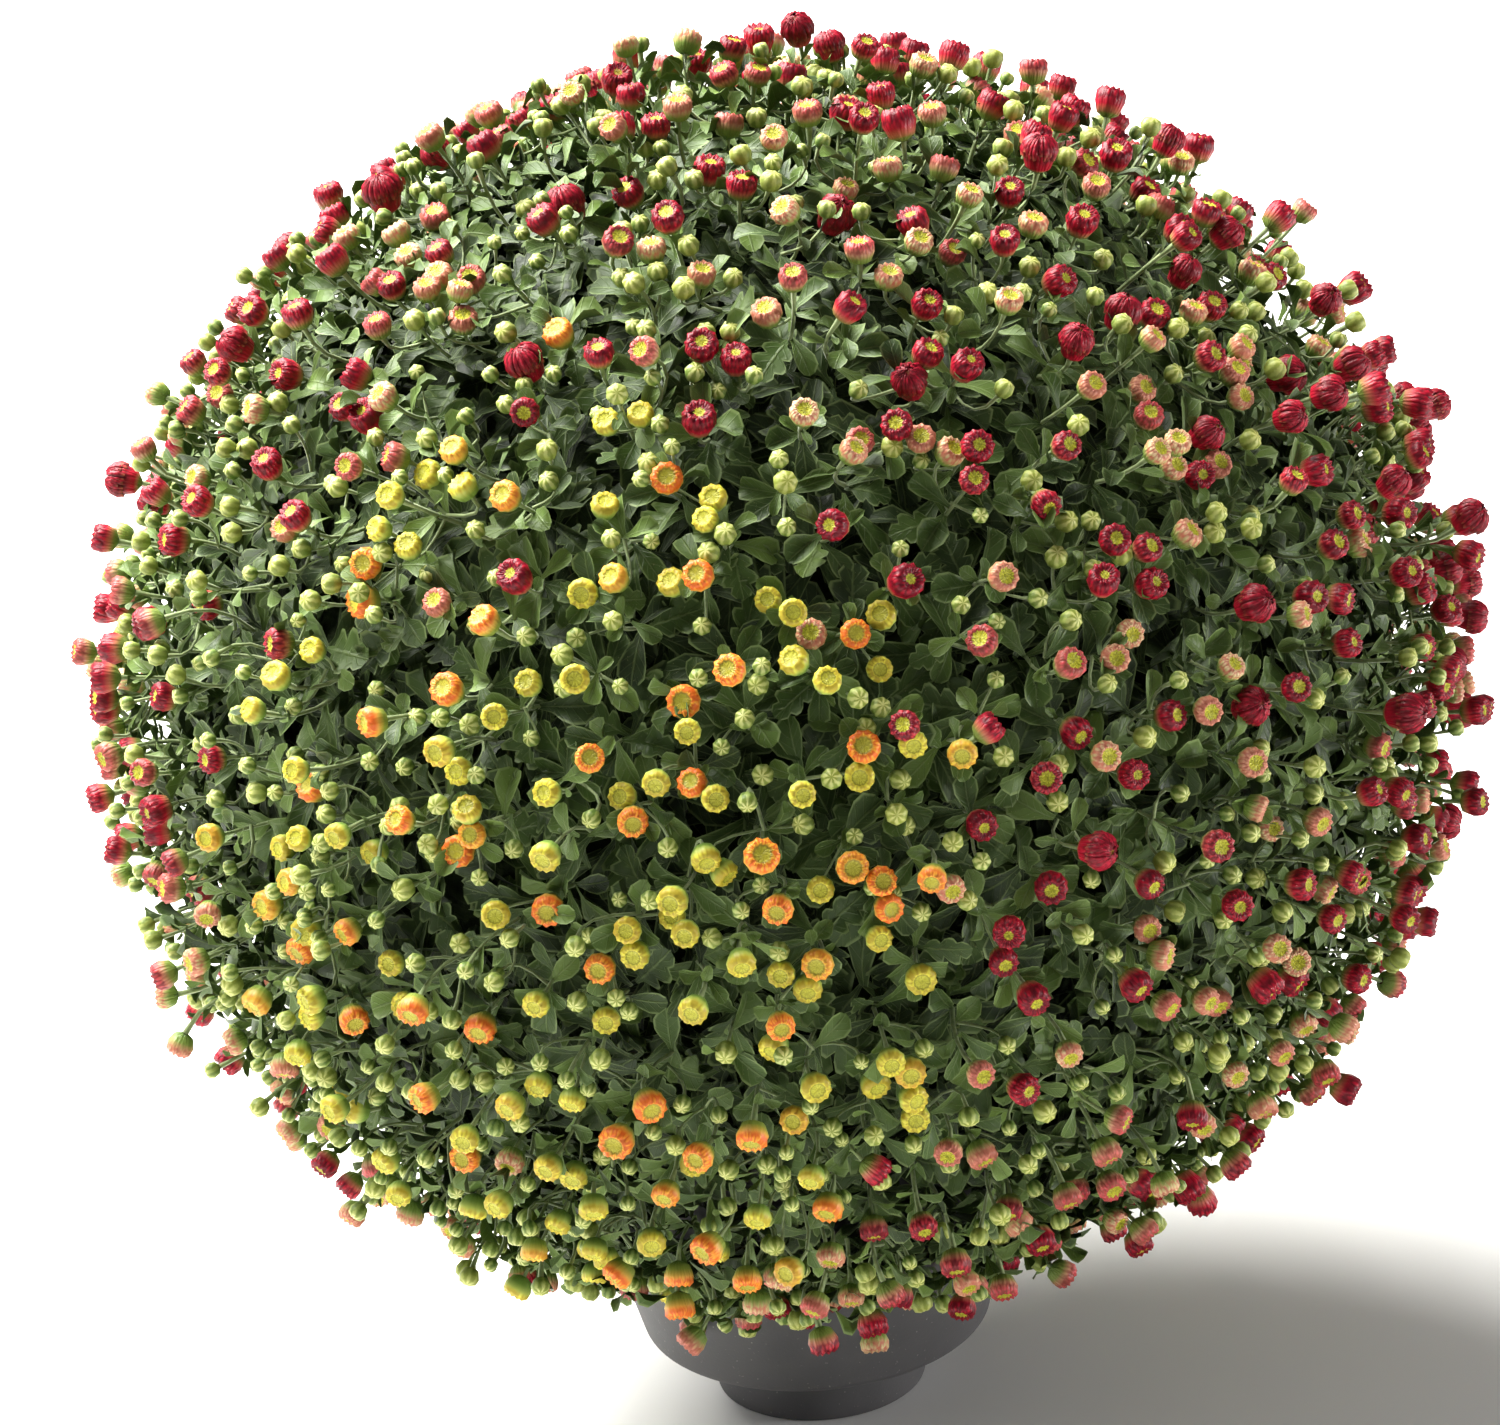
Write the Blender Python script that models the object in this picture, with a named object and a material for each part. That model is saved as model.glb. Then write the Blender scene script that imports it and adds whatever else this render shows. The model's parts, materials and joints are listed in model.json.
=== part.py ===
"""Pot chrysanthemum: three young plants in one round pot, grown into a ball of leaves and flower buds.

Units are metres, +Z is up, and the origin is the middle of the pot's underside.
The front of the plant, with the yellow buds, faces -Y.
"""
import math
import random

import bmesh
import bpy
from mathutils import Vector
from mathutils.bvhtree import BVHTree

# Pot: radii and heights of its outer wall, from the underside up
FOOT_RADIUS = 0.0465
FOOT_TOP_RADIUS = 0.0505
FOOT_TOP = 0.021
LEDGE_RADIUS = 0.0735
LEDGE_HEIGHT = 0.030
BODY_FOOT_RADIUS = 0.0775
BODY_FOOT_HEIGHT = 0.033
BODY_TOP_RADIUS = 0.1095
RIM_RADIUS = 0.1145
RIM_BOTTOM = 0.150
POT_HEIGHT = 0.166
WALL = 0.0024
EDGE = 0.0012
ROUND_STEPS = 28

# Drain holes in the pot's floor
DRAIN_RADIUS = 0.005
DRAIN_CIRCLE = 0.028
DRAIN_COUNT = 4

# Soil plug
GAP = 0.0003
SOIL_TOP = 0.149
SOIL_CROWN = 0.003

# Ball of foliage: half width and half height of the bud tips, and of the dense inner part
HEAD_CENTRE = Vector((0.0, 0.0, 0.337))
HEAD_HALF_WIDTH = 0.312
HEAD_HALF_HEIGHT = 0.282
CORE_HALF_WIDTH = 0.268
CORE_HALF_HEIGHT = 0.241
CORE_MOUTH_RADIUS = 0.1195
CORE_MOUTH_TOP = 0.171
CORE_HOLLOW = ((0.084, 0.214), (0.044, 0.241))
CORE_HOLLOW_TOP = 0.250
CORE_RINGS = 10
CORE_COLUMNS = 10
CORE_RELIEF = 0.036

# The three plants share the ball, one sector each, parted by a thin gap
SECTOR = math.radians(120)
SECTOR_GAP = 0.0005
FIRST_SECTOR_START = math.radians(-170)

# Leaves: long, lobed blades folded along the midrib
LEAF_COUNT = 156
LEAF_LENGTHS = (0.070, 0.088)
LEAF_THICKNESS = 0.0009
LEAF_SLOPES = (math.radians(27), math.radians(42))
LEAF_TURNS = 7
LEAF_ROOT_DEPTH = 0.010
LEAF_FOLD = 0.26
LEAF_HALF_OUTLINE = ((0.57, 0.32), (0.67, 0.17), (0.84, 0.21))
LEAF_LOWEST = -0.84

# Flower buds on their stalks
BUD_COUNT = 216
BUD_LOWEST = -0.93
BUD_LEANS = 5
BUD_LEAN = 0.07
STALK_RADIUS = 0.0014
STALK_ROOT_SHARE = 0.955
BUD_REACH = (0.925, 1.0)
BUD_SIDES = 6
GREEN_BUD = 0.0050
YELLOW_BUD = 0.0062
RED_BUD = 0.0076

# Main stem of each plant and the branches that carry its head
STEM_RADIUS = 0.0065
STEM_CIRCLE = 0.040
STEM_FOOT = 0.100
STEM_FORK = 0.163
STEM_SIDES = 8
BRANCH_RADIUS = 0.0034
BRANCH_SIDES = 5
BRANCH_SINK = 0.022

GOLDEN_ANGLE = math.pi * (3.0 - math.sqrt(5.0))


def clear_scene():
    for thing in list(bpy.data.objects):
        bpy.data.objects.remove(thing, do_unlink=True)


def make_material(name, colour, roughness):
    material = bpy.data.materials.new(name)
    material.use_nodes = True
    shader = material.node_tree.nodes["Principled BSDF"]
    shader.inputs["Base Color"].default_value = (*colour, 1.0)
    shader.inputs["Roughness"].default_value = roughness
    shader.inputs["Metallic"].default_value = 0.0
    return material


def add_object(name, vertices, faces, material, collection=None):
    """One closed mesh object with its faces pointing out."""
    mesh = bpy.data.meshes.new(name)
    mesh.from_pydata([tuple(v) for v in vertices], [], faces)
    shape = bmesh.new()
    shape.from_mesh(mesh)
    bmesh.ops.recalc_face_normals(shape, faces=shape.faces)
    shape.to_mesh(mesh)
    shape.free()
    mesh.materials.append(material)
    thing = bpy.data.objects.new(name, mesh)
    (collection or bpy.context.scene.collection).objects.link(thing)
    return thing


def turned(name, profile, material):
    """A round solid: the profile, an open line of (radius, height) that starts and ends on the axis, spun."""
    shape = bmesh.new()
    line = [shape.verts.new((radius, 0.0, height)) for radius, height in profile]
    edges = [shape.edges.new(pair) for pair in zip(line, line[1:])]
    bmesh.ops.spin(
        shape, geom=line + edges, cent=(0, 0, 0), axis=(0, 0, 1),
        angle=2 * math.pi, steps=ROUND_STEPS, use_merge=True,
    )
    bmesh.ops.remove_doubles(shape, verts=shape.verts, dist=0.00001)
    bmesh.ops.recalc_face_normals(shape, faces=shape.faces)
    mesh = bpy.data.meshes.new(name)
    shape.to_mesh(mesh)
    shape.free()
    mesh.materials.append(material)
    mesh.shade_smooth()
    mesh.set_sharp_from_angle(angle=math.radians(35))
    thing = bpy.data.objects.new(name, mesh)
    bpy.context.scene.collection.objects.link(thing)
    return thing


def cylinder_between(name, start, end, radii, sides, material, collection):
    """A tapered round bar from start to end."""
    axis = (Vector(end) - Vector(start)).normalized()
    side = axis.orthogonal().normalized()
    other = axis.cross(side)
    vertices = []
    for point, radius in zip((start, end), radii):
        for step in range(sides):
            angle = 2 * math.pi * step / sides
            offset = side * math.cos(angle) + other * math.sin(angle)
            vertices.append(Vector(point) + offset * radius)
    faces = [tuple(reversed(range(sides))), tuple(range(sides, 2 * sides))]
    for step in range(sides):
        after = (step + 1) % sides
        faces.append((step, after, sides + after, sides + step))
    return add_object(name, vertices, faces, material, collection)


def apply_boolean(thing, operation, solver, other=None, collection=None):
    """Applies one Boolean to a mesh object and removes what it used up."""
    modifier = thing.modifiers.new(operation.lower(), "BOOLEAN")
    modifier.operation = operation
    modifier.solver = solver
    if collection:
        modifier.operand_type = "COLLECTION"
        modifier.collection = collection
    else:
        modifier.object = other
    depsgraph = bpy.context.evaluated_depsgraph_get()
    result = bpy.data.meshes.new_from_object(thing.evaluated_get(depsgraph))
    thing.modifiers.clear()
    thing.data = result
    used = list(collection.objects) if collection else [other]
    for piece in used:
        bpy.data.objects.remove(piece, do_unlink=True)
    if collection:
        bpy.data.collections.remove(collection)


def keep_main_body(thing):
    """Drops loose scraps and fills sealed hollows: only the largest connected skin stays."""
    shape = bmesh.new()
    shape.from_mesh(thing.data)
    left = set(shape.verts)
    bodies = []
    while left:
        body = {left.pop()}
        front = list(body)
        while front:
            for edge in front.pop().link_edges:
                for vertex in edge.verts:
                    if vertex in left:
                        left.discard(vertex)
                        body.add(vertex)
                        front.append(vertex)
        bodies.append(body)
    bodies.sort(key=len)
    loose = [vertex for body in bodies[:-1] for vertex in body]
    bmesh.ops.delete(shape, geom=loose, context="VERTS")
    bmesh.ops.triangulate(shape, faces=shape.faces)
    shape.to_mesh(thing.data)
    shape.free()


def pot_wall_profile(inset):
    """The pot's outer wall from the foot to the rim, moved in by inset."""
    return [
        (FOOT_RADIUS - inset, inset),
        (FOOT_TOP_RADIUS - inset, FOOT_TOP + inset),
        (LEDGE_RADIUS - inset, LEDGE_HEIGHT + inset),
        (BODY_TOP_RADIUS - inset, RIM_BOTTOM),
    ]


def make_pot(material):
    outer = [
        (0.0, 0.0),
        (FOOT_RADIUS - EDGE, 0.0),
        (FOOT_RADIUS, EDGE),
        (FOOT_TOP_RADIUS, FOOT_TOP),
        (LEDGE_RADIUS, LEDGE_HEIGHT),
        (BODY_FOOT_RADIUS, BODY_FOOT_HEIGHT),
        (BODY_TOP_RADIUS, RIM_BOTTOM),
        (RIM_RADIUS, RIM_BOTTOM + EDGE),
        (RIM_RADIUS, POT_HEIGHT - EDGE),
        (RIM_RADIUS - EDGE, POT_HEIGHT),
        (RIM_RADIUS - WALL, POT_HEIGHT),
    ]
    inner = [(0.0, WALL)] + pot_wall_profile(WALL)
    pot = turned("pot", outer + list(reversed(inner)), material)
    for hole in range(DRAIN_COUNT):
        angle = 2 * math.pi * (hole + 0.5) / DRAIN_COUNT
        x = DRAIN_CIRCLE * math.cos(angle)
        y = DRAIN_CIRCLE * math.sin(angle)
        drill = cylinder_between(
            "drill", (x, y, -WALL), (x, y, 3 * WALL), (DRAIN_RADIUS, DRAIN_RADIUS), 10, material, None
        )
        apply_boolean(pot, "DIFFERENCE", "EXACT", other=drill)
    return pot


def stem_place(start):
    """Where a plant's main stem stands in the soil."""
    middle = start + SECTOR / 2
    return Vector((STEM_CIRCLE * math.cos(middle), STEM_CIRCLE * math.sin(middle), 0.0))


def make_soil(material, starts):
    wall = pot_wall_profile(WALL + GAP)[:3]
    slope = (BODY_TOP_RADIUS - LEDGE_RADIUS) / (RIM_BOTTOM - LEDGE_HEIGHT - WALL)
    top_radius = BODY_TOP_RADIUS - WALL - 2 * GAP - slope * (RIM_BOTTOM - SOIL_TOP)
    profile = [(0.0, WALL + GAP)] + wall + [(top_radius, SOIL_TOP)]
    profile += [(0.6 * top_radius, SOIL_TOP + 0.7 * SOIL_CROWN), (0.0, SOIL_TOP + SOIL_CROWN)]
    soil = turned("soil", profile, material)
    for start in starts:
        place = stem_place(start)
        low = place + Vector((0, 0, STEM_FOOT - GAP))
        high = place + Vector((0, 0, STEM_FORK))
        radius = STEM_RADIUS + 2 * GAP
        drill = cylinder_between("drill", low, high, (radius, radius), STEM_SIDES, material, None)
        apply_boolean(soil, "DIFFERENCE", "EXACT", other=drill)
    return soil


def core_profile():
    """Outer line of the dense inner part from its top to the mouth over the pot, then its hollow underside."""
    lowest = -math.acos(CORE_MOUTH_RADIUS / CORE_HALF_WIDTH)
    outer = []
    for ring in range(CORE_RINGS + 1):
        angle = math.pi / 2 + (lowest - math.pi / 2) * ring / CORE_RINGS
        radius = CORE_HALF_WIDTH * math.cos(angle)
        outer.append((radius, CORE_HALF_HEIGHT * math.sin(angle)))
    outer[0] = (0.0, CORE_HALF_HEIGHT)
    hollow = [(CORE_MOUTH_RADIUS, CORE_MOUTH_TOP), *CORE_HOLLOW, (0.0, CORE_HOLLOW_TOP)]
    return outer, hollow


def make_core(name, start, material, draw):
    """One sector of the dense inner part, its outside roughened by raising and lowering its corners."""
    outer, hollow = core_profile()
    middle = start + SECTOR / 2
    shift = SECTOR_GAP / math.sin(SECTOR / 2)
    away = Vector((math.cos(middle), math.sin(middle), 0.0)) * shift
    vertices = []
    columns = []
    for column in range(CORE_COLUMNS + 1):
        angle = start + SECTOR * column / CORE_COLUMNS
        line = []
        for index, (radius, height) in enumerate(outer):
            relief = 1.0
            if 0 < index < CORE_RINGS:
                sign = 1 if (index + column) % 2 else -1
                relief += sign * draw.uniform(0.35, 1.0) * CORE_RELIEF
            line.append((radius * relief, HEAD_CENTRE.z + height * relief))
        line += hollow
        places = []
        for index, (radius, height) in enumerate(line):
            if radius == 0.0 and column > 0:
                places.append(columns[0][index])
                continue
            places.append(len(vertices))
            point = Vector((radius * math.cos(angle), radius * math.sin(angle), height))
            vertices.append(point + away)
        columns.append(places)
    faces = [tuple(columns[0]), tuple(reversed(columns[-1]))]
    for before, after in zip(columns, columns[1:]):
        for index in range(len(before) - 1):
            quad = [before[index], after[index], after[index + 1], before[index + 1]]
            corners = list(dict.fromkeys(quad))
            if len(corners) == 4:
                diagonal = (corners[:3], [corners[0], corners[2], corners[3]])
                faces += [tuple(corner) for corner in diagonal]
            else:
                faces.append(tuple(corners))
    return add_object(name, vertices, faces, material)


def spread_directions(count, lowest, seed):
    """Directions spread evenly over the ball down to a lowest height, each nudged a little."""
    draw = random.Random(seed)
    directions = []
    for index in range(count):
        height = 1.0 - (1.0 - lowest) * (index + 0.5) / count
        angle = index * GOLDEN_ANGLE + draw.uniform(-0.05, 0.05)
        level = math.sqrt(max(0.0, 1.0 - height * height))
        directions.append(Vector((level * math.cos(angle), level * math.sin(angle), height)))
    return directions


def on_ball(direction, half_width, half_height):
    stretched = Vector((direction.x * half_width, direction.y * half_width, direction.z * half_height))
    return HEAD_CENTRE + stretched


def outward(direction):
    """The ball's surface normal in a direction."""
    return Vector(
        (direction.x / CORE_HALF_WIDTH, direction.y / CORE_HALF_WIDTH, direction.z / CORE_HALF_HEIGHT)
    ).normalized()


def leaf_mesh(root, along, up, length):
    """A lobed blade folded along its midrib: matching top and bottom faces joined round the edge."""
    side = along.cross(up).normalized()
    line = [(0.0, 0.0)] + list(LEAF_HALF_OUTLINE) + [(1.0, 0.0)]
    line += [(far, -wide) for far, wide in reversed(LEAF_HALF_OUTLINE)]
    tip = len(LEAF_HALF_OUTLINE) + 1
    count = len(line)
    vertices = []
    for offset in (0.5 * LEAF_THICKNESS, -0.5 * LEAF_THICKNESS):
        for far, wide in line:
            lift = LEAF_FOLD * abs(wide) * length + offset
            point = root + along * (far * length) + side * (wide * length) + up * lift
            vertices.append(point)
    faces = []
    for lobe, notch, second in ((1, 2, 3), (count - 1, count - 2, count - 3)):
        for triangle in ((0, lobe, notch), (0, notch, tip), (notch, second, tip)):
            faces.append(triangle)
            faces.append(tuple(corner + count for corner in reversed(triangle)))
    for index in range(count):
        after = (index + 1) % count
        faces.append((index, after, after + count))
        faces.append((index, after + count, index + count))
    return vertices, faces


def bud_mesh(root, tip, radius):
    """A flower bud on its stalk: a three-sided stalk that widens into a flattened, dimpled ball."""
    axis = (tip - root).normalized()
    side = axis.orthogonal().normalized()
    other = axis.cross(side)
    length = (tip - root).length
    rings = (
        (3, 0.0, STALK_RADIUS),
        (3, length - 1.5 * radius, STALK_RADIUS),
        (BUD_SIDES, length - 0.8 * radius, radius),
        (BUD_SIDES, length, 0.62 * radius),
    )
    vertices = []
    starts = []
    for sides, far, wide in rings:
        starts.append(len(vertices))
        for step in range(sides):
            angle = 2 * math.pi * step / sides
            offset = side * math.cos(angle) + other * math.sin(angle)
            vertices.append(root + axis * far + offset * wide)
    top = len(vertices)
    vertices.append(root + axis * (length - 0.18 * radius))
    low, high, wide, brim = starts
    faces = [(low + 2, low + 1, low)]
    for step in range(3):
        after = (step + 1) % 3
        faces += [(low + step, low + after, high + after), (low + step, high + after, high + step)]
        first = wide + 2 * step
        middle = first + 1
        last = wide + (2 * step + 2) % BUD_SIDES
        faces += [(high + step, middle, first), (high + step, high + after, middle), (high + after, last, middle)]
    for step in range(BUD_SIDES):
        after = (step + 1) % BUD_SIDES
        faces += [(wide + step, wide + after, brim + after), (wide + step, brim + after, brim + step)]
        faces.append((brim + step, brim + after, top))
    return vertices, faces


def sector_planes(start):
    """Inward normals of the two upright planes that bound a plant's sector."""
    end = start + SECTOR
    first = Vector((-math.sin(start), math.cos(start), 0.0))
    last = Vector((math.sin(end), -math.cos(end), 0.0))
    return first, last


def moved_clear(vertices, planes):
    """Slides a leaf or bud sideways until all of it is inside its sector; None where it can't fit."""
    places = list(vertices)
    for _ in range(3):
        for plane in planes:
            nearest = min(place.dot(plane) for place in places)
            if nearest < SECTOR_GAP:
                places = [place + plane * (SECTOR_GAP - nearest) for place in places]
    if min(place.dot(plane) for plane in planes for place in places) < 0.99 * SECTOR_GAP:
        return None
    return places


def clears_pot(vertices):
    clearance = 0.003
    for place in vertices:
        if place.z < POT_HEIGHT + clearance:
            if math.hypot(place.x, place.y) < RIM_RADIUS + clearance and place.z > RIM_BOTTOM - 0.01:
                return False
            if math.hypot(place.x, place.y) < BODY_TOP_RADIUS - 0.004:
                return False
    return True


def in_sector(direction, start):
    angle = math.atan2(direction.y, direction.x)
    return (angle - start) % (2 * math.pi) < SECTOR


def placed(vertices, faces, planes, taken):
    """The shape slid clear of its sector's sides, or None where it would cross the pot or an earlier shape."""
    vertices = moved_clear(vertices, planes)
    if vertices is None or not clears_pot(vertices):
        return None
    tree = BVHTree.FromPolygons(vertices, faces)
    if any(tree.overlap(other) for other in taken):
        return None
    taken.append(tree)
    return vertices, faces


def leaf_shapes(start, planes, taken):
    """All leaf blades of one plant, each turned until it clears those before it."""
    draw = random.Random(11)
    shapes = []
    for direction in spread_directions(LEAF_COUNT, LEAF_LOWEST, seed=3):
        turn = draw.uniform(0, 2 * math.pi)
        slope = draw.uniform(*LEAF_SLOPES)
        length = draw.uniform(*LEAF_LENGTHS)
        if not in_sector(direction, start):
            continue
        normal = outward(direction)
        first = normal.orthogonal().normalized()
        surface = on_ball(direction, CORE_HALF_WIDTH, CORE_HALF_HEIGHT)
        for attempt in range(LEAF_TURNS):
            angle = turn + 2 * math.pi * attempt / LEAF_TURNS
            flat = first * math.cos(angle) + normal.cross(first) * math.sin(angle)
            along = flat * math.cos(slope) + normal * math.sin(slope)
            up = normal * math.cos(slope) - flat * math.sin(slope)
            root = surface - along * (LEAF_ROOT_DEPTH / math.sin(slope))
            shape = placed(*leaf_mesh(root, along, up, length), planes, taken)
            if shape:
                shapes.append(shape)
                break
    return shapes


def bud_radius(draw, is_yellow):
    share = draw.random()
    if share < 0.34:
        return GREEN_BUD
    if is_yellow or share < 0.55:
        return YELLOW_BUD
    return RED_BUD


def bud_shapes(start, planes, taken, is_yellow):
    """All buds of one plant with their stalks, each leant until it clears what is there."""
    draw = random.Random(29)
    shapes = []
    for direction in spread_directions(BUD_COUNT, BUD_LOWEST, seed=7):
        leans = [Vector([draw.uniform(-BUD_LEAN, BUD_LEAN) for _ in range(3)]) for _ in range(BUD_LEANS)]
        reach = draw.uniform(*BUD_REACH)
        radius = bud_radius(draw, is_yellow)
        if not in_sector(direction, start):
            continue
        rooted = Vector((direction.x, direction.y, max(direction.z, LEAF_LOWEST))).normalized()
        root = on_ball(rooted, CORE_HALF_WIDTH * STALK_ROOT_SHARE, CORE_HALF_HEIGHT * STALK_ROOT_SHARE)
        for lean in leans:
            aim = (direction + lean).normalized()
            tip = on_ball(aim, HEAD_HALF_WIDTH * reach, HEAD_HALF_HEIGHT * reach)
            shape = placed(*bud_mesh(root, tip, radius), planes, taken)
            if shape:
                shapes.append(shape)
                break
    return shapes


def add_stems(start, material, collection):
    """The main stem, upright in its hole in the soil, and four branches that run up into the head."""
    place = stem_place(start)
    foot = place + Vector((0, 0, STEM_FOOT))
    fork = place + Vector((0, 0, STEM_FORK))
    radii = (STEM_RADIUS, STEM_RADIUS * 0.8)
    cylinder_between("stem", foot, fork, radii, STEM_SIDES, material, collection)
    middle = start + SECTOR / 2
    for turn, far, height in ((-0.62, 0.098, 0.214), (0.0, 0.104, 0.208), (0.62, 0.098, 0.214), (0.0, 0.040, 0.246)):
        angle = middle + turn
        end = Vector((far * math.cos(angle), far * math.sin(angle), height))
        along = (end - fork).normalized()
        low = fork - along * BRANCH_RADIUS - Vector((0, 0, BRANCH_RADIUS))
        high = end + along * BRANCH_SINK
        radii = (BRANCH_RADIUS, BRANCH_RADIUS * 0.8)
        cylinder_between("branch", low, high, radii, BRANCH_SIDES, material, collection)


def make_plant(name, start, material, is_yellow):
    """One plant: its part of the dense head, main stem, leaves and buds, fused into one body."""
    planes = sector_planes(start)
    plant = make_core(name, start, material, random.Random(5))
    growth = bpy.data.collections.new(name + "_growth")
    bpy.context.scene.collection.children.link(growth)
    taken = []
    shapes = leaf_shapes(start, planes, taken) + bud_shapes(start, planes, taken, is_yellow)
    for vertices, faces in shapes:
        add_object(name + "_shoot", vertices, faces, material, growth)
    add_stems(start, material, growth)
    apply_boolean(plant, "UNION", "MANIFOLD", collection=growth)
    keep_main_body(plant)
    return plant


def main():
    clear_scene()
    plastic = make_material("pot_plastic", (0.069, 0.064, 0.067), 0.55)
    earth = make_material("soil", (0.035, 0.022, 0.013), 0.95)
    leaf_yellow = make_material("leaf_front", (0.125, 0.205, 0.060), 0.60)
    leaf_red = make_material("leaf_right", (0.100, 0.170, 0.062), 0.60)
    leaf_back = make_material("leaf_back", (0.112, 0.188, 0.070), 0.60)
    starts = [FIRST_SECTOR_START + index * SECTOR for index in range(3)]
    make_pot(plastic)
    make_soil(earth, starts)
    make_plant("plant_yellow", starts[0], leaf_yellow, True)
    make_plant("plant_red_right", starts[1], leaf_red, False)
    make_plant("plant_red_back", starts[2], leaf_back, False)


main()
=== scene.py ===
# %% [markdown]
# # A pot chrysanthemum, grown as a ball
# A garden chrysanthemum that has been pinched back all summer grows into a ball of short leafy shoots,
# each ending in a small bunch of flower buds. We load the construction model first: it fixes the size
# and the place of everything, and what we grow here keeps to its outline.

# %% Load the fixed frame
import json
import math

import bpy
import numpy as np
from mathutils import Matrix, Vector

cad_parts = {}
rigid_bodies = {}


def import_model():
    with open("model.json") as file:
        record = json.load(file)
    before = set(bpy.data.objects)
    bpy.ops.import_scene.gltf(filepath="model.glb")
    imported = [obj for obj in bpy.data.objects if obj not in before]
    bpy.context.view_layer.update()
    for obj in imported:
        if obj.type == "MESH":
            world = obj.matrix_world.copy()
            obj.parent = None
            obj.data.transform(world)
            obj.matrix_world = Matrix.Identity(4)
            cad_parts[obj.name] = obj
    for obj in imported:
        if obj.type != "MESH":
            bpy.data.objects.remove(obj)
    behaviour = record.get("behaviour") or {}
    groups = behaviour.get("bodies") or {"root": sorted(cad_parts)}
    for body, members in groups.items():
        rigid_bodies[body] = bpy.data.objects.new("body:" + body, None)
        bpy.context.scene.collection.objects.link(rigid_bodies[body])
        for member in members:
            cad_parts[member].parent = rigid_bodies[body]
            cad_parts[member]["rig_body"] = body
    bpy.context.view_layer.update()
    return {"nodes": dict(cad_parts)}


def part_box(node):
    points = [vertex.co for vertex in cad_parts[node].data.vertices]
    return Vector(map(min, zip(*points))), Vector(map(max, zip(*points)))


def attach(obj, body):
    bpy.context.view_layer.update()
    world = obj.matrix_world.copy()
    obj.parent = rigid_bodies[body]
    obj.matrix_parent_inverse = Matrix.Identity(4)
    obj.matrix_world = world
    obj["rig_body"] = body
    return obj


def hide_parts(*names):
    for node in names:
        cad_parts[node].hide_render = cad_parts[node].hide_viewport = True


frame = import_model()
print("frame nodes:", sorted(frame["nodes"]))

# %% [markdown]
# ## The sizes that drive the plant
# Lengths are in metres. The head is an oblate ball: its bud tips reach a half width and a half height
# round a centre above the pot. A place inside the head is then a direction and a share of the way out,
# so one small function turns both into a point.

# %% Sizes of the head and the pot
HEAD_CENTRE = np.array([0.006, 0.0, 0.3375])
HEAD_HALF = np.array([0.305, 0.308, 0.281])
POT_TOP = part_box("pot")[1].z
RIM_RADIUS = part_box("pot")[1].x
SOIL_TOP = 0.149
POT_FOOT, POT_FOOT_TOP, POT_LEDGE = (0.0465, 0.0), (0.0505, 0.021), (0.0735, 0.030)
POT_WALL_LOW, POT_WALL_HIGH = (0.0775, 0.033), (0.1095, 0.150)
ALL_ROUND = 2 * math.pi
GOLDEN_ANGLE = math.pi * (3 - math.sqrt(5))
SECTOR = math.radians(120)
FIRST_SECTOR = math.radians(-170)
PLANTS = ("yellow_plant", "right_plant", "back_plant")
PLANT_NODES = ("plant_yellow", "plant_red_right", "plant_red_back")


def head_point(directions, share):
    """Points a share of the way from the head's centre to the bud tips."""
    return HEAD_CENTRE + directions * HEAD_HALF * np.asarray(share)[..., None]


def unit(vectors):
    return vectors / np.maximum(np.linalg.norm(vectors, axis=-1, keepdims=True), 1e-9)


def head_normal(directions):
    return unit(directions / HEAD_HALF)


print("pot rim radius", round(RIM_RADIUS, 4), "pot height", round(POT_TOP, 4))

# %% [markdown]
# ## The camera, the floor and the light
# The photograph looks down on the plant a little, through a long lens, and is tilted a few degrees. We
# place the camera along that direction, roll it, and aim it so that the head falls where the photograph
# has it. A long lens from far away keeps near and far buds about the same size.

# %% Camera
PHOTO_WIDTH, PHOTO_HEIGHT = 1500, 1425
HEAD_IN_PHOTO = (768.0, 672.0)
METRES_PER_PIXEL = 0.00043
VIEW_DISTANCE = 2.6
VIEW_HEIGHT_ANGLE = math.radians(22)
VIEW_ROLL = math.radians(4.5)
SENSOR = 36.0
AIM = (0.0, 0.0, 0.3405)

camera_data = bpy.data.cameras.new("photo_camera")
camera_data.sensor_width = SENSOR
camera_data.lens = SENSOR * VIEW_DISTANCE / (PHOTO_WIDTH * METRES_PER_PIXEL)
camera = bpy.data.objects.new("photo_camera", camera_data)
bpy.context.scene.collection.objects.link(camera)
to_camera = Vector((0, -math.cos(VIEW_HEIGHT_ANGLE), math.sin(VIEW_HEIGHT_ANGLE)))
turn = to_camera.to_track_quat("Z", "Y").to_matrix() @ Matrix.Rotation(-VIEW_ROLL, 3, "Z")
right_of_view, up_of_view = turn.col[0], turn.col[1]
target = Vector(AIM)
target -= right_of_view * (HEAD_IN_PHOTO[0] - PHOTO_WIDTH / 2) * METRES_PER_PIXEL
target += up_of_view * (HEAD_IN_PHOTO[1] - PHOTO_HEIGHT / 2) * METRES_PER_PIXEL
camera.matrix_world = Matrix.Translation(target + to_camera * VIEW_DISTANCE) @ turn.to_4x4()
bpy.context.scene.camera = camera
print("lens", round(camera_data.lens, 1), "mm")

# %% [markdown]
# The floor is a plain pale square, so large that its edge never comes into view from the photograph's
# angle. The photograph was taken in soft daylight from above, from the left and a little from behind:
# one very large lamp gives that, two weak ones soften the left and the lower right, and a pale sky
# fills the shadows.

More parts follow.
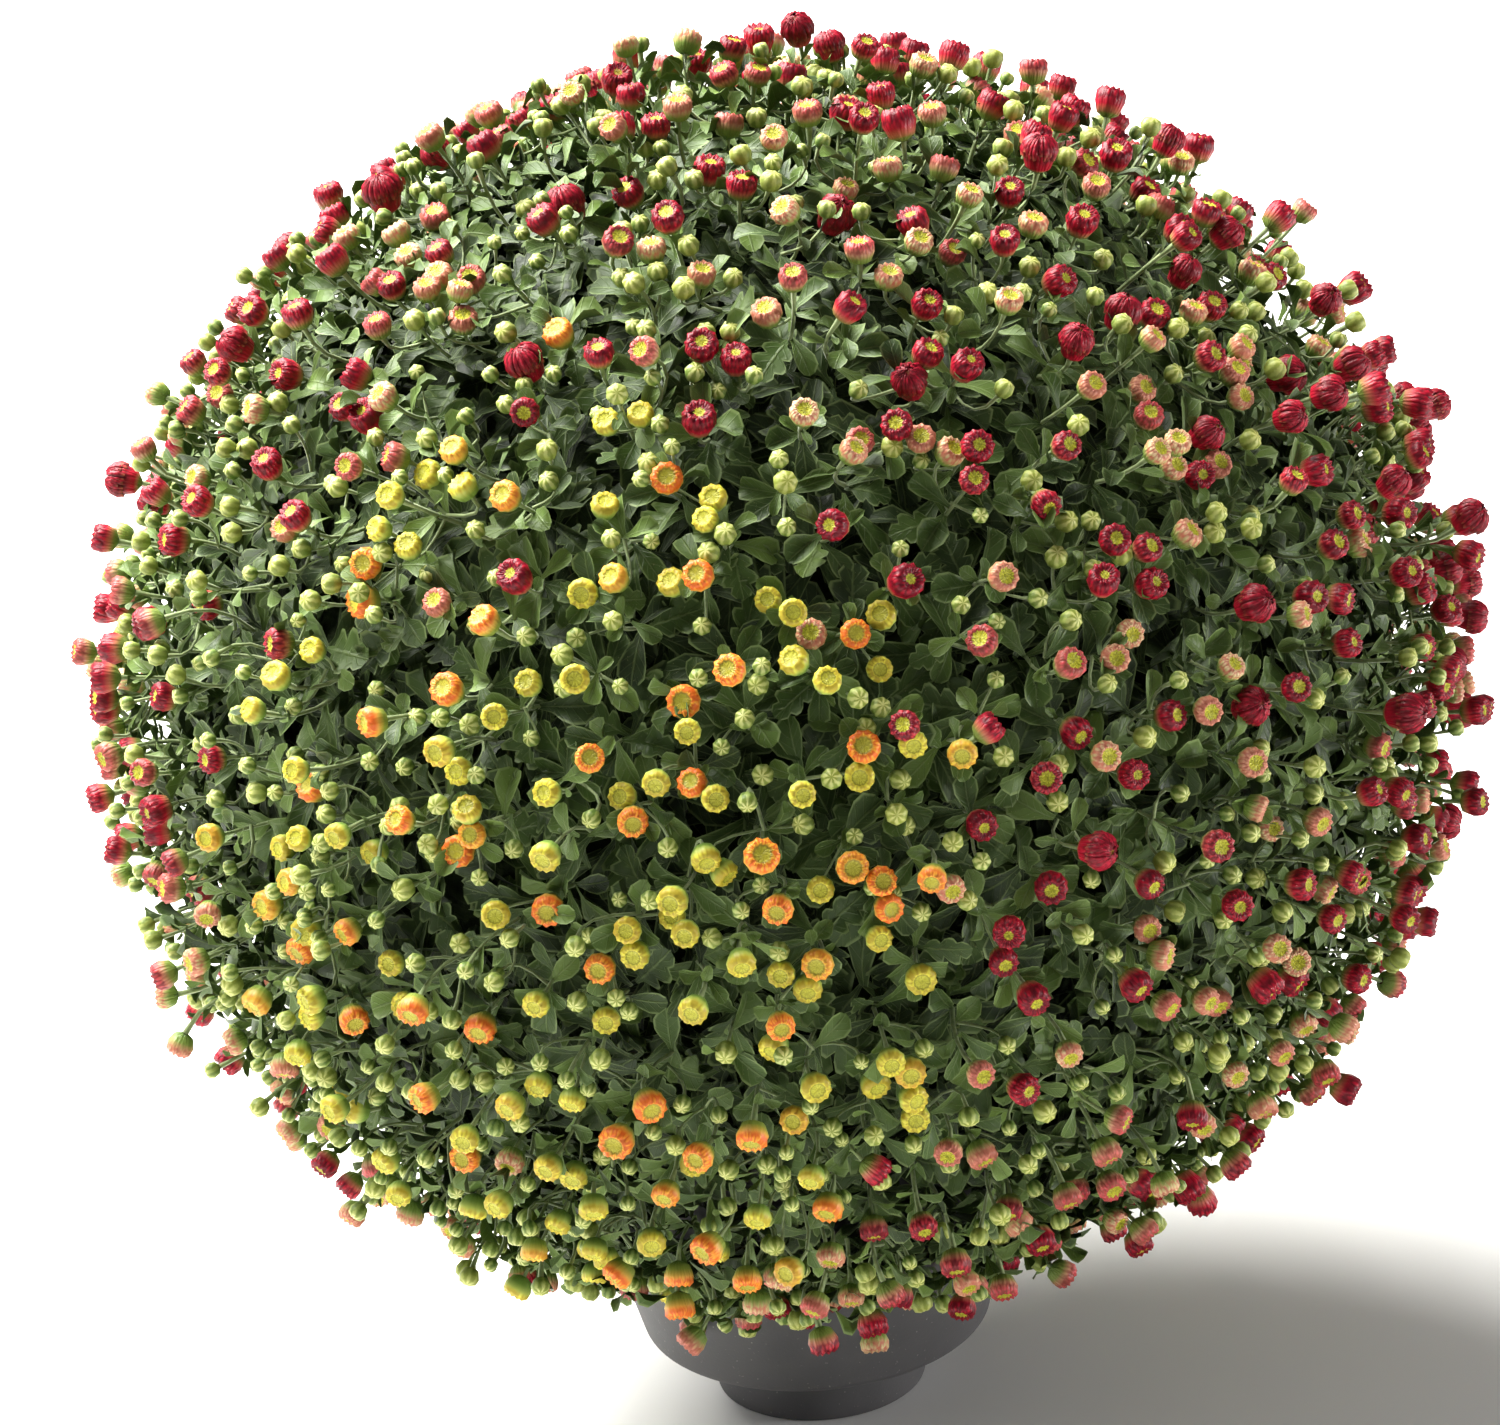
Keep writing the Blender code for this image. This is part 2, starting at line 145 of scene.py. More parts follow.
# %% Floor and light
FLOOR_REACH = 9.0
floor_mesh = bpy.data.meshes.new("floor")
floor_mesh.from_pydata(
    [(-FLOOR_REACH, -FLOOR_REACH, 0), (FLOOR_REACH, -FLOOR_REACH, 0),
     (FLOOR_REACH, FLOOR_REACH, 0), (-FLOOR_REACH, FLOOR_REACH, 0)],
    [], [(0, 1, 2, 3)],
)
floor = bpy.data.objects.new("floor", floor_mesh)
bpy.context.scene.collection.objects.link(floor)
floor_material = bpy.data.materials.new("pale_floor")
floor_material.use_nodes = True
floor_material.node_tree.nodes["Principled BSDF"].inputs["Base Color"].default_value = (0.86, 0.86, 0.85, 1)
floor_material.node_tree.nodes["Principled BSDF"].inputs["Roughness"].default_value = 0.9
floor_mesh.materials.append(floor_material)


def add_lamp(name, place, size, watts, colour):
    lamp = bpy.data.lights.new(name, "AREA")
    lamp.shape = "DISK"
    lamp.size = size
    lamp.energy = watts
    lamp.color = colour
    holder = bpy.data.objects.new(name, lamp)
    bpy.context.scene.collection.objects.link(holder)
    aim = Vector(HEAD_CENTRE) - Vector(place)
    holder.matrix_world = Matrix.Translation(place) @ aim.to_track_quat("-Z", "Y").to_matrix().to_4x4()


add_lamp("sky_light", (-1.35, 1.05, 2.65), 2.8, 570, (1.0, 0.99, 0.95))
add_lamp("left_fill", (-3.0, -0.2, 1.3), 2.0, 10, (0.98, 0.99, 1.0))
add_lamp("low_right_fill", (2.5, -0.45, 0.22), 0.5, 42, (1.0, 0.99, 0.97))
world = bpy.data.worlds.new("soft_daylight")
world.use_nodes = True
world.node_tree.nodes["Background"].inputs["Color"].default_value = (0.99, 0.99, 1.0, 1)
world.node_tree.nodes["Background"].inputs["Strength"].default_value = 0.29
bpy.context.scene.world = world
bpy.context.scene.view_settings.view_transform = "Standard"
print("lamps placed")

# %% [markdown]
# ## One helper that grows thousands of small pieces at once
# A leaf or bud is a small template: some corners, and faces that say which corners they join. Blender
# makes a thousand objects slowly, but one mesh of a thousand leaves quickly, so we work out all corners
# as one array and hand it over whole. Each piece also gets its own cell of a texture map, and each
# corner can carry numbers, such as how far along the leaf it is, which the material reads later.

# %% Mesh helper
MAP_NAME = "OFBake"
MAP_MARGIN = 0.05


def grow(name, points, faces, spots=None, fields=None, material=None):
    """One mesh object from points of shape (pieces, corners, 3) and one face template for all pieces."""
    points = np.asarray(points, float)
    pieces, corners, _ = points.shape
    lengths = np.array([len(face) for face in faces])
    template = np.concatenate([np.array(face) for face in faces])
    loops = (template[None, :] + corners * np.arange(pieces)[:, None]).ravel()
    starts = np.concatenate([[0], np.cumsum(np.tile(lengths, pieces))[:-1]])
    mesh = bpy.data.meshes.new(name)
    mesh.vertices.add(pieces * corners)
    mesh.vertices.foreach_set("co", points.astype(np.float32).ravel())
    mesh.loops.add(len(loops))
    mesh.polygons.add(len(starts))
    mesh.polygons.foreach_set("loop_start", starts.astype(np.int32))
    mesh.polygons.foreach_set("vertices", loops.astype(np.int32))
    mesh.update(calc_edges=True)
    mesh.shade_smooth()
    for key, values in (fields or {}).items():
        values = np.broadcast_to(values, (pieces, corners)).astype(np.float32)
        mesh.attributes.new(key, "FLOAT", "POINT").data.foreach_set("value", values.ravel())
    if spots is not None:
        side = math.ceil(math.sqrt(pieces))
        cells = np.stack([np.arange(pieces) % side, np.arange(pieces) // side], 1)
        inside = MAP_MARGIN + (1 - 2 * MAP_MARGIN) * np.asarray(spots)
        layer = mesh.uv_layers.new(name=MAP_NAME)
        layer.uv.foreach_set("vector", ((cells[:, None] + inside[None]) / side).astype(np.float32).ravel())
    if material:
        mesh.materials.append(material)
    thing = bpy.data.objects.new(name, mesh)
    bpy.context.scene.collection.objects.link(thing)
    return thing


def triangles(thing):
    return sum(len(face.vertices) - 2 for face in thing.data.polygons)


def frame_round(axes):
    """Two directions square to each axis."""
    helper = np.where(np.abs(axes[..., 2:3]) < 0.9, [0.0, 0.0, 1.0], [1.0, 0.0, 0.0])
    side = unit(np.cross(helper, axes))
    return side, np.cross(axes, side)


print("texture map", MAP_NAME, "with a margin of", MAP_MARGIN, "round each piece")

# %% [markdown]
# ## One helper for materials
# Every surface here is a Principled shader fed by a few nodes: a colour ramp read from a number on the
# mesh, some noise over it, and a bump. Writing those few steps as functions keeps each recipe short
# enough to read.

# %% Material helper
class Recipe:
    """A material whose nodes are added one by one."""

    def __init__(self, name, roughness=0.5, specular=0.5):
        self.material = bpy.data.materials.new(name)
        self.material.use_nodes = True
        self.nodes = self.material.node_tree.nodes
        self.links = self.material.node_tree.links
        self.shader = self.nodes["Principled BSDF"]
        self.shader.inputs["Roughness"].default_value = roughness
        self.shader.inputs["Specular IOR Level"].default_value = specular
        self.place = self.nodes.new("ShaderNodeTexCoord").outputs["Object"]

    def read(self, field):
        """A number that the mesh carries at each corner."""
        node = self.nodes.new("ShaderNodeAttribute")
        node.attribute_name = field
        return node.outputs["Fac"]

    def math(self, operation, first, second=0.0, clamp=False):
        node = self.nodes.new("ShaderNodeMath")
        node.operation = operation
        node.use_clamp = clamp
        for socket, value in zip(node.inputs, (first, second)):
            if isinstance(value, (int, float)):
                socket.default_value = value
            else:
                self.links.new(value, socket)
        return node.outputs[0]

    def noise(self, scale, detail=3.0, rough=0.55):
        node = self.nodes.new("ShaderNodeTexNoise")
        node.inputs["Scale"].default_value = scale
        node.inputs["Detail"].default_value = detail
        node.inputs["Roughness"].default_value = rough
        self.links.new(self.place, node.inputs["Vector"])
        return node.outputs["Fac"]

    def petals(self, around, deep, seed):
        """Distance from the middle of small cells laid round a bud: 0 on a petal, more between petals."""
        angle = self.math("ARCTAN2", self.read("north"), self.read("east"))
        turned = self.math("MULTIPLY", angle, around / ALL_ROUND)
        risen = self.math("MULTIPLY", self.read("up"), deep)
        node = self.nodes.new("ShaderNodeCombineXYZ")
        for socket, value in zip(node.inputs, (turned, risen, seed)):
            self.links.new(value, socket)
        cells = self.nodes.new("ShaderNodeTexVoronoi")
        cells.inputs["Scale"].default_value = 1.0
        cells.inputs["Randomness"].default_value = 0.6
        self.links.new(node.outputs[0], cells.inputs["Vector"])
        return cells.outputs["Distance"]

    def ramp(self, factor, stops):
        """Colours, or shares from 0 to 1, along a factor."""
        node = self.nodes.new("ShaderNodeValToRGB")
        elements = node.color_ramp.elements
        while len(elements) < len(stops):
            elements.new(0.5)
        for element, (position, colour) in zip(elements, stops):
            element.position = position
            shade = (colour,) * 3 if isinstance(colour, (int, float)) else colour
            element.color = (*shade, 1.0)
        self.links.new(factor, node.inputs["Fac"])
        return node.outputs["Color"]

    def mix(self, factor, first, second):
        """The first colour where the factor is 0, the second where it is 1."""
        node = self.nodes.new("ShaderNodeMix")
        node.data_type = "RGBA"
        sockets = node.inputs["Factor"], node.inputs[6], node.inputs[7]
        for socket, value in zip(sockets, (factor, first, second)):
            if isinstance(value, (int, float)):
                socket.default_value = value
            elif isinstance(value, tuple):
                socket.default_value = (*value, 1.0)
            else:
                self.links.new(value, socket)
        return node.outputs[2]

    def bump(self, height, distance, strength=1.0):
        node = self.nodes.new("ShaderNodeBump")
        node.inputs["Strength"].default_value = strength
        node.inputs["Distance"].default_value = distance
        self.links.new(height, node.inputs["Height"])
        self.links.new(node.outputs["Normal"], self.shader.inputs["Normal"])

    def finish(self, colour, roughness=None):
        self.links.new(colour, self.shader.inputs["Base Color"])
        if roughness is not None:
            self.links.new(roughness, self.shader.inputs["Roughness"])
        return self.material


print("steps of a recipe:", [step for step in vars(Recipe) if not step.startswith("_")])

# %% [markdown]
# ## The pot
# A moulded nursery pot is one thin turned shell, so its outline is drawn once and spun round the axis.
# Real mouldings have no sharp corners: each corner of the outline is replaced by a short arc before it
# is spun, and the small ledge above the foot, which lets pots stack, then catches a line of light.

# %% Round an outline and spin it
def rounded(outline, radius, steps=4):
    """The outline with each inner corner replaced by a short curve."""
    line = [np.array(outline[0])]
    for before, corner, after in zip(outline, outline[1:], outline[2:]):
        before, corner, after = (np.array(point) for point in (before, corner, after))
        back, on = before - corner, after - corner
        cut = min(radius, 0.45 * np.linalg.norm(back), 0.45 * np.linalg.norm(on))
        start, end = corner + unit(back) * cut, corner + unit(on) * cut
        for share in np.linspace(0, 1, steps):
            line.append((1 - share) ** 2 * start + 2 * share * (1 - share) * corner + share ** 2 * end)
    line.append(np.array(outline[-1]))
    return np.array(line)


def ring_faces(rows, steps, full=None):
    """Faces that join each ring of corners to the next, and their places on a map of full rows."""
    full = full or rows - 1
    faces, spots = [], []
    for row in range(rows - 1):
        this, next_row = row * steps, (row + 1) * steps
        low, high = row / full, (row + 1) / full
        for step in range(steps):
            after = (step + 1) % steps
            faces.append((this + step, this + after, next_row + after, next_row + step))
            left, right = step / steps, (step + 1) / steps
            spots += [(left, low), (right, low), (right, high), (left, high)]
    return faces, spots


def spin(name, line, steps, material):
    """A turned shell from a line of (radius, height)."""
    turns = np.arange(steps) * ALL_ROUND / steps
    circle = np.stack([np.cos(turns), np.sin(turns)], 1)
    points = np.zeros((len(line), steps, 3))
    points[..., :2] = line[:, None, :1] * circle[None]
    points[..., 2] = line[:, 1:2]
    faces, spots = ring_faces(len(line), steps)
    return grow(name, points.reshape(1, -1, 3), faces, spots, None, material)


print("faces round a ring of 12:", len(ring_faces(2, 12)[0]))

# %% [markdown]
# The outline starts at the middle of the underside, goes out over the foot, the ledge and the wall to
# the rim, and comes back down inside, a wall's thickness away. The rim's width and height are read from
# the construction model, because leaves hide them in the photograph.

# %% Pot outline
POT_STEPS = 80
WALL = 0.0024
CORNER_RADIUS = 0.0022
pot_outline = [
    (0.0004, 0.0), POT_FOOT, POT_FOOT_TOP, POT_LEDGE, POT_WALL_LOW, POT_WALL_HIGH,
    (RIM_RADIUS, POT_WALL_HIGH[1] + 0.001), (RIM_RADIUS, POT_TOP), (RIM_RADIUS - WALL, POT_TOP),
    (POT_WALL_HIGH[0] - WALL, POT_WALL_HIGH[1]), (POT_LEDGE[0] - WALL, POT_LEDGE[1] + WALL),
    (POT_FOOT_TOP[0] - WALL, POT_FOOT_TOP[1] + WALL), (POT_FOOT[0] - WALL, WALL), (0.0004, WALL),
]
pot_line = rounded(pot_outline, CORNER_RADIUS)
print("pot outline corners", len(pot_outline), "rounded to", len(pot_line), "points")

# %% [markdown]
# The plastic is a dark charcoal grey, matt from the mould, and dusty: faint clouds of dust lie on it,
# with small pale specks. They only change the colour and the roughness, so they stay in the material.

# %% Pot material
plastic = Recipe("charcoal_pot_plastic", roughness=0.45, specular=0.5)
cloud = plastic.noise(38, 4)
speck = plastic.ramp(plastic.noise(560, 2), [(0.0, 0.0), (0.69, 0.0), (0.75, 1.0)])
PLASTIC_GREY, DUST_GREY = (0.060, 0.058, 0.061), (0.108, 0.104, 0.107)
dust = plastic.mix(plastic.ramp(cloud, [(0.3, 0.0), (0.8, 0.5)]), PLASTIC_GREY, DUST_GREY)
dusty = plastic.mix(plastic.math("MULTIPLY", speck, 0.6), dust, (0.32, 0.30, 0.28))
plastic.bump(plastic.noise(700, 3), 0.0003, 0.35)
pot_finish = plastic.finish(dusty, plastic.ramp(cloud, [(0.25, 0.52), (0.75, 0.72)]))
pot = spin("pot_shell", pot_line, POT_STEPS, pot_finish)
pot.data.set_sharp_from_angle(angle=math.radians(40))
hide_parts("pot")
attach(pot, "root")
print("pot triangles", triangles(pot))

# %% [markdown]
# ## The soil
# Potting soil is a crumbly plug that fills the pot to a finger's width under the rim. Its top is a disc
# of many small faces, pushed up and down by layered waves, so that the crumbs are real shape and not
# only shading.

# %% Soil
SOIL_RINGS, SOIL_STEPS = 34, 90


def crumbs(points, size, seed):
    """A cheap repeatable roughness, mostly from -1 to 1: a sum of waves in random directions."""
    draw = np.random.default_rng(seed)
    total = np.zeros(points.shape[:-1])
    for wave in range(7):
        direction = unit(draw.normal(size=3))
        length = size * draw.uniform(0.6, 1.7)
        total += np.sin(points @ direction * ALL_ROUND / length + draw.uniform(0, ALL_ROUND))
    return total / 3.2


def soil_line():
    """Radius and height from the middle of the top out to the wall, and down under it."""
    out = np.linspace(0.0005, 0.1028, SOIL_RINGS - 2)
    top = np.stack([out, SOIL_TOP + 0.002 * (1 - (out / 0.103) ** 2)], 1)
    down = np.array([(0.1006, 0.140), (0.0712, 0.0345), (0.048, 0.0242), (0.0436, 0.003), (0.0005, 0.003)])
    return np.concatenate([top, down])[::-1]


earth = Recipe("dark_potting_soil", roughness=0.95, specular=0.2)
lumps = earth.noise(260, 5, 0.65)
bark = earth.ramp(earth.noise(120, 2), [(0.0, 0.0), (0.62, 0.0), (0.7, 1.0)])
soil_colour = earth.ramp(lumps, [(0.3, (0.012, 0.008, 0.005)), (0.7, (0.055, 0.034, 0.019))])
earth.bump(lumps, 0.002, 0.8)
soil_finish = earth.finish(earth.mix(earth.math("MULTIPLY", bark, 0.5), soil_colour, (0.12, 0.07, 0.035)))
soil = spin("soil_plug", soil_line(), SOIL_STEPS, soil_finish)
corners = np.array([vertex.co for vertex in soil.data.vertices])
on_top = corners[:, 2] > SOIL_TOP - 0.001
corners[on_top, 2] += 0.0016 * crumbs(corners[on_top], 0.012, 1)
corners[on_top, 2] += 0.0009 * crumbs(corners[on_top], 0.004, 2)
soil.data.vertices.foreach_set("co", corners.astype(np.float32).ravel())
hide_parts("soil")
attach(soil, "root")
print("soil triangles", triangles(soil))

# %% [markdown]
# ## Where the shoots are
# Shoots crowd the ball evenly, because each takes the light it can reach. A spiral with the golden
# angle between its steps spreads any number of points evenly over a ball; a little randomness keeps it
# from looking like a pattern. Each shoot belongs to the plant whose third of the pot it grows in.

# %% Shoots
SHOOTS = 1050
SHOOT_LOWEST = -0.955
SHOOT_NUDGE = 0.013
SHOOT_ROOT_SHARE, LOW_ROOT_SHARE = 0.795, 0.89
SHOOT_LENGTH = 0.037
SHOOT_LEAN = 0.13
LOW_FROM, LOW_SPAN, LOW_SHORTER = -0.70, 0.2, 0.6


def spiral(count, lowest, nudge, seed):
    """Unit directions spread evenly over the head, down to a lowest height, each nudged at random."""
    draw = np.random.default_rng(seed)
    steps = np.arange(count)
    height = 1 - (1 - lowest) * (steps + 0.5) / count
    angle = steps * GOLDEN_ANGLE
    level = np.sqrt(1 - height ** 2)
    directions = np.stack([level * np.cos(angle), level * np.sin(angle), height], 1)
    return unit(directions + draw.normal(size=(count, 3)) * nudge)


def plant_of(directions):
    """0, 1 or 2: the sector of the pot, and so the plant, that a direction falls in."""
    angle = np.arctan2(directions[:, 1], directions[:, 0])
    return (((angle - FIRST_SECTOR) % ALL_ROUND) // SECTOR).astype(int)


shoot_draw = np.random.default_rng(21)
shoots = spiral(SHOOTS, SHOOT_LOWEST, SHOOT_NUDGE, 4)
shoot_plant = plant_of(shoots)
shoot_normal = head_normal(shoots)
shoot_lean = shoot_draw.normal(size=(SHOOTS, 3)) * SHOOT_LEAN
shoot_axis = unit(shoot_normal + shoot_lean)
lowness = np.clip((LOW_FROM - shoots[:, 2]) / LOW_SPAN, 0, 1)
shoot_root = head_point(shoots, SHOOT_ROOT_SHARE + (LOW_ROOT_SHARE - SHOOT_ROOT_SHARE) * lowness)
shoot_length = SHOOT_LENGTH * (1 - LOW_SHORTER * lowness)
print("shoots per plant", [int((shoot_plant == index).sum()) for index in range(3)])

# %% [markdown]
# The lowest leaves and stalks hang over the rim. On the real plant they lie against the pot's wall, so
# one small function moves every point that would be inside the wall straight out to just off it.

# %% Keep clear of the pot
POT_CLEARANCE = 0.002


def push_off_pot(points):
    """Leaves and stalks that meet the pot lie against its wall."""
    low, high = POT_WALL_LOW, POT_WALL_HIGH
    radius = np.hypot(points[..., 0], points[..., 1])
    share = np.clip((points[..., 2] - low[1]) / (high[1] - low[1]), 0, 1)
    wall = low[0] + (high[0] - low[0]) * share + POT_CLEARANCE
    wall = np.where(points[..., 2] > high[1] - 0.004, RIM_RADIUS + POT_CLEARANCE, wall)
    near = (points[..., 2] < POT_TOP + 0.003) & (radius < wall)
    grown = np.where(near, wall / np.maximum(radius, 1e-6), 1.0)
    moved = points.copy()
    moved[..., :2] *= grown[..., None]
    return moved


point_inside = np.array([[0.001, 0.0, 0.08]])
print("a point inside the pot moves out to", push_off_pot(point_inside).round(3))

# %% [markdown]
# ## The inside of the bush
# Between the outer leaves you look into darkness: shoots, shaded leaves and old leaf stalks, far too
# many to model one by one. A rough dark body stands for that tangle, well below the outer leaves,
# hollow over the pot as the real bush is. A layer of plain shaded leaves then covers it, so that no
# bare patch shows.

# %% Dark inner body
INNER_SHARE = 0.745
INNER_STEPS, INNER_HEIGHTS = 96, 40
INNER_MOUTH = 0.118


def inner_line():
    half_width, half_height = HEAD_HALF[0] * INNER_SHARE, HEAD_HALF[2] * INNER_SHARE
    lowest = -math.acos(INNER_MOUTH / half_width)
    turns = np.linspace(math.pi / 2 - 0.01, lowest, INNER_HEIGHTS)
    outer = np.stack([half_width * np.cos(turns), HEAD_CENTRE[2] + half_height * np.sin(turns)], 1)
    hollow = np.array([(INNER_MOUTH, 0.172), (0.084, 0.214), (0.044, 0.241), (0.001, 0.250)])
    return np.concatenate([outer, hollow])[::-1]


shade = Recipe("shaded_inner_shoots", roughness=0.8, specular=0.2)
depth = shade.noise(120, 5, 0.6)
shade.bump(depth, 0.004, 0.9)
# The body's near-black colour is painted shade: the greens of the tangle darkened as the shade deep inside
# the bush darkens them.
shade_colour = shade.ramp(depth, [(0.3, (0.006, 0.012, 0.002)), (0.75, (0.028, 0.046, 0.009))])
shade_finish = shade.finish(shade_colour)
inner = spin("inner_shoots", inner_line(), INNER_STEPS, shade_finish)
corners = np.array([vertex.co for vertex in inner.data.vertices])
from_centre = unit(corners - HEAD_CENTRE)
outside = np.linalg.norm((corners - HEAD_CENTRE) / HEAD_HALF, axis=1) > 0.9 * INNER_SHARE
relief = 0.004 * crumbs(corners, 0.030, 5) + 0.003 * crumbs(corners, 0.012, 6)
corners += from_centre * (relief * outside)[:, None]
inner.data.vertices.foreach_set("co", corners.astype(np.float32).ravel())
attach(inner, "root")
print("inner body triangles", triangles(inner))

# %% [markdown]
# ## Stems
# Stems and stalks are tubes along a curve: a ring of corners stands square to the curve at each of its
# points, and each ring is joined to the next. Blender's curve objects make tubes too, but one mesh is
# quicker for the thousands of stalks that come later.

# %% Tubes
def tube_points(curves, radii, sides):
    """Corners of tubes along curves of shape (pieces, points, 3) with radii (pieces, points)."""
    along = unit(np.gradient(curves, axis=1))
    side, other = frame_round(along)
    turns = (np.arange(sides) * ALL_ROUND / sides)[:, None]
    ring = side[:, :, None] * np.cos(turns) + other[:, :, None] * np.sin(turns)
    points = curves[:, :, None] + ring * radii[:, :, None, None]
    return points.reshape(len(curves), -1, 3)


def bent(start, middle, end, count):
    """Points along smooth curves that leave start towards middle and arrive at end from it."""
    share = np.linspace(0, 1, count)[None, :, None]
    start, middle, end = (point[:, None] for point in (start, middle, end))
    return (1 - share) ** 2 * start + 2 * share * (1 - share) * middle + share ** 2 * end


print("a tube of 5 rings of 4 corners has", len(ring_faces(5, 4)[0]), "faces")

# %% [markdown]
# Each plant stands on one woody stem, sunk a little into the soil, which soon forks into the branches
# that carry the head. One tube goes up to the fork and five leave it, spread over the plant's third of
# the pot. They end inside the dark body, so few points are enough.

# %% Main stems
STEM_CIRCLE, STEM_RADIUS = 0.040, 0.0062
BRANCHES = (
    (-0.7, 0.11, 0.23), (-0.25, 0.12, 0.225), (0.25, 0.12, 0.225), (0.7, 0.11, 0.23), (0.0, 0.045, 0.26),
)
BRANCH_THICKNESS, TIP_THICKNESS = 0.55, 0.8
STEM_SUNK, FORK_HEIGHT = 0.02, 0.032
STEM_POINTS, STEM_SIDES = 9, 10

stem_curves, stem_radii = [], []
for index in range(3):
    middle_angle = FIRST_SECTOR + SECTOR * (index + 0.5)
    out_to = np.array([math.cos(middle_angle), math.sin(middle_angle), 0.0])
    foot = STEM_CIRCLE * out_to + [0, 0, SOIL_TOP - STEM_SUNK]
    fork = foot + [0, 0, FORK_HEIGHT]
    limbs = [(foot, (foot + fork) / 2, fork, STEM_RADIUS)]
    for angle, far, height in BRANCHES:
        turn_to = middle_angle + angle
        end = np.array([far * math.cos(turn_to), far * math.sin(turn_to), height])
        limbs.append((fork - [0, 0, 0.004], fork + [0, 0, 0.03], end, BRANCH_THICKNESS * STEM_RADIUS))
    for start, bend, end, thick in limbs:
        stem_curves.append(bent(start[None], bend[None], end[None], STEM_POINTS)[0])
        stem_radii.append(np.linspace(thick, TIP_THICKNESS * thick, STEM_POINTS))
wood = Recipe("woody_stem", roughness=0.75, specular=0.25)
bark_lines = wood.noise(240, 4)
wood.bump(bark_lines, 0.0008, 0.7)
wood_finish = wood.finish(wood.ramp(bark_lines, [(0.3, (0.055, 0.040, 0.022)), (0.7, (0.14, 0.13, 0.07))]))
stem_faces, stem_spots = ring_faces(STEM_POINTS, STEM_SIDES)
stem_corners = tube_points(np.array(stem_curves), np.array(stem_radii), STEM_SIDES)
stems = grow("main_stems", stem_corners, stem_faces, stem_spots, None, wood_finish)
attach(stems, "root")
print("stem triangles", triangles(stems))

# %% [markdown]
# ## The leaf blade
# Two kinds of leaf grow on one shoot. The lower ones are lobed: narrow at the stalk, then two pairs of
# lobes that point forward, then a blunt end lobe. The upper ones, next to the buds, are small and
# plain, shaped like a spoon. A third, still simpler outline serves for the bracts and the shaded inner
# leaves. Each outline below is one side of a leaf, as places along it and out from its rib.

# %% Leaf templates
LOBED_SIDE = (
    (0.00, 0.022), (0.20, 0.052), (0.30, 0.165), (0.40, 0.245), (0.475, 0.248), (0.500, 0.145),
    (0.59, 0.240), (0.68, 0.290), (0.750, 0.272), (0.775, 0.150), (0.87, 0.185), (0.955, 0.118),
)
SPOON_SIDE = ((0.00, 0.042), (0.26, 0.088), (0.46, 0.172), (0.66, 0.238), (0.84, 0.236), (0.96, 0.132))
BRACT_SIDE = ((0.00, 0.050), (0.34, 0.110), (0.68, 0.200), (0.92, 0.130))
VEIN_SLANT = 0.5
MAP_HALF_WIDTH = 0.32


def blade_template(side, shares):
    """Along, out and edge share of each corner of a blade, its faces, and their places on its map."""
    along, out = [], []
    for far, wide in side:
        for share in shares:
            along.append(far - (1 - abs(share)) * VEIN_SLANT * wide)
            out.append(share * wide)
    along[: len(shares)] = [0.0] * len(shares)
    tip = len(along)
    along.append(1.0)
    out.append(0.0)
    width = len(shares)
    faces = []
    for row in range(len(side) - 1):
        for column in range(width - 1):
            corner = row * width + column
            faces.append((corner, corner + 1, corner + width + 1, corner + width))
    last = (len(side) - 1) * width
    faces += [(last + column, last + column + 1, tip) for column in range(width - 1)]
    along, out = np.array(along), np.array(out)
    edge = np.array([share for _ in side for share in shares] + [0.0])
    flat = np.concatenate([np.array(face) for face in faces])
    spots = np.stack([0.5 + 0.5 * out[flat] / MAP_HALF_WIDTH, along[flat]], 1)
    return along, out, edge, faces, spots


lobed = blade_template(LOBED_SIDE, (1.0, 0.0, -1.0))
spoon = blade_template(SPOON_SIDE, (1.0, 0.0, -1.0))
bract = blade_template(BRACT_SIDE, (1.0, 0.0, -1.0))
print("leaf corners: lobed", len(lobed[0]), "spoon", len(spoon[0]), "bract", len(bract[0]))

# %% [markdown]
# A real leaf is never flat: it rises from the shoot and bends over, is cupped along the rib, waved at
# the margin and rolled a little. One function bends all leaves of a kind at once. Going out along the
# leaf the slope falls steadily, which is an arc of a circle, so each corner's place comes from sines
# and cosines of the slope.

# %% Bend the blades
LEAF_CUP, LEAF_CURL, LEAF_ROLL = (0.1, 0.5), (0.3, 1.1), 0.28
MOST_RIPPLE, RIPPLE_RATE = 0.16, 9


def blades(root, flat, normal, length, rise, template, draw, cup=LEAF_CUP, curl=LEAF_CURL):
    """Corners of many leaf blades: each leaves its root along flat, rising at its slope, and curls over."""
    along, out = template[0][None], template[1][None]
    count = len(root)
    turn_over = draw.normal(size=(count, 1)) * LEAF_ROLL
    normal = normal * np.cos(turn_over) + np.cross(flat, normal) * np.sin(turn_over)
    side = np.cross(flat, normal)
    rise, length = rise[:, None], length[:, None]
    bend = draw.uniform(*curl, (count, 1))
    slope = rise - bend * along
    far = (np.sin(rise) - np.sin(slope)) / bend * length
    high = (np.cos(slope) - np.cos(rise)) / bend * length
    span = out * draw.uniform(0.88, 1.2, (count, 1)) * length
    ripple = draw.uniform(0, MOST_RIPPLE, (count, 1))
    ripple = ripple * np.sin(along * RIPPLE_RATE + draw.uniform(0, ALL_ROUND, (count, 1)))
    deepest = np.abs(template[1]).max() * length
    lift = span ** 2 / deepest * 2 * draw.uniform(*cup, (count, 1)) + ripple * np.abs(span)
    upward = normal[:, None] * np.cos(slope)[..., None] - flat[:, None] * np.sin(slope)[..., None]
    points = root[:, None] + flat[:, None] * far[..., None] + normal[:, None] * high[..., None]
    return points + side[:, None] * span[..., None] + upward * lift[..., None]


print("leaves curl over by", LEAF_CURL[0], "to", LEAF_CURL[1], "radians")
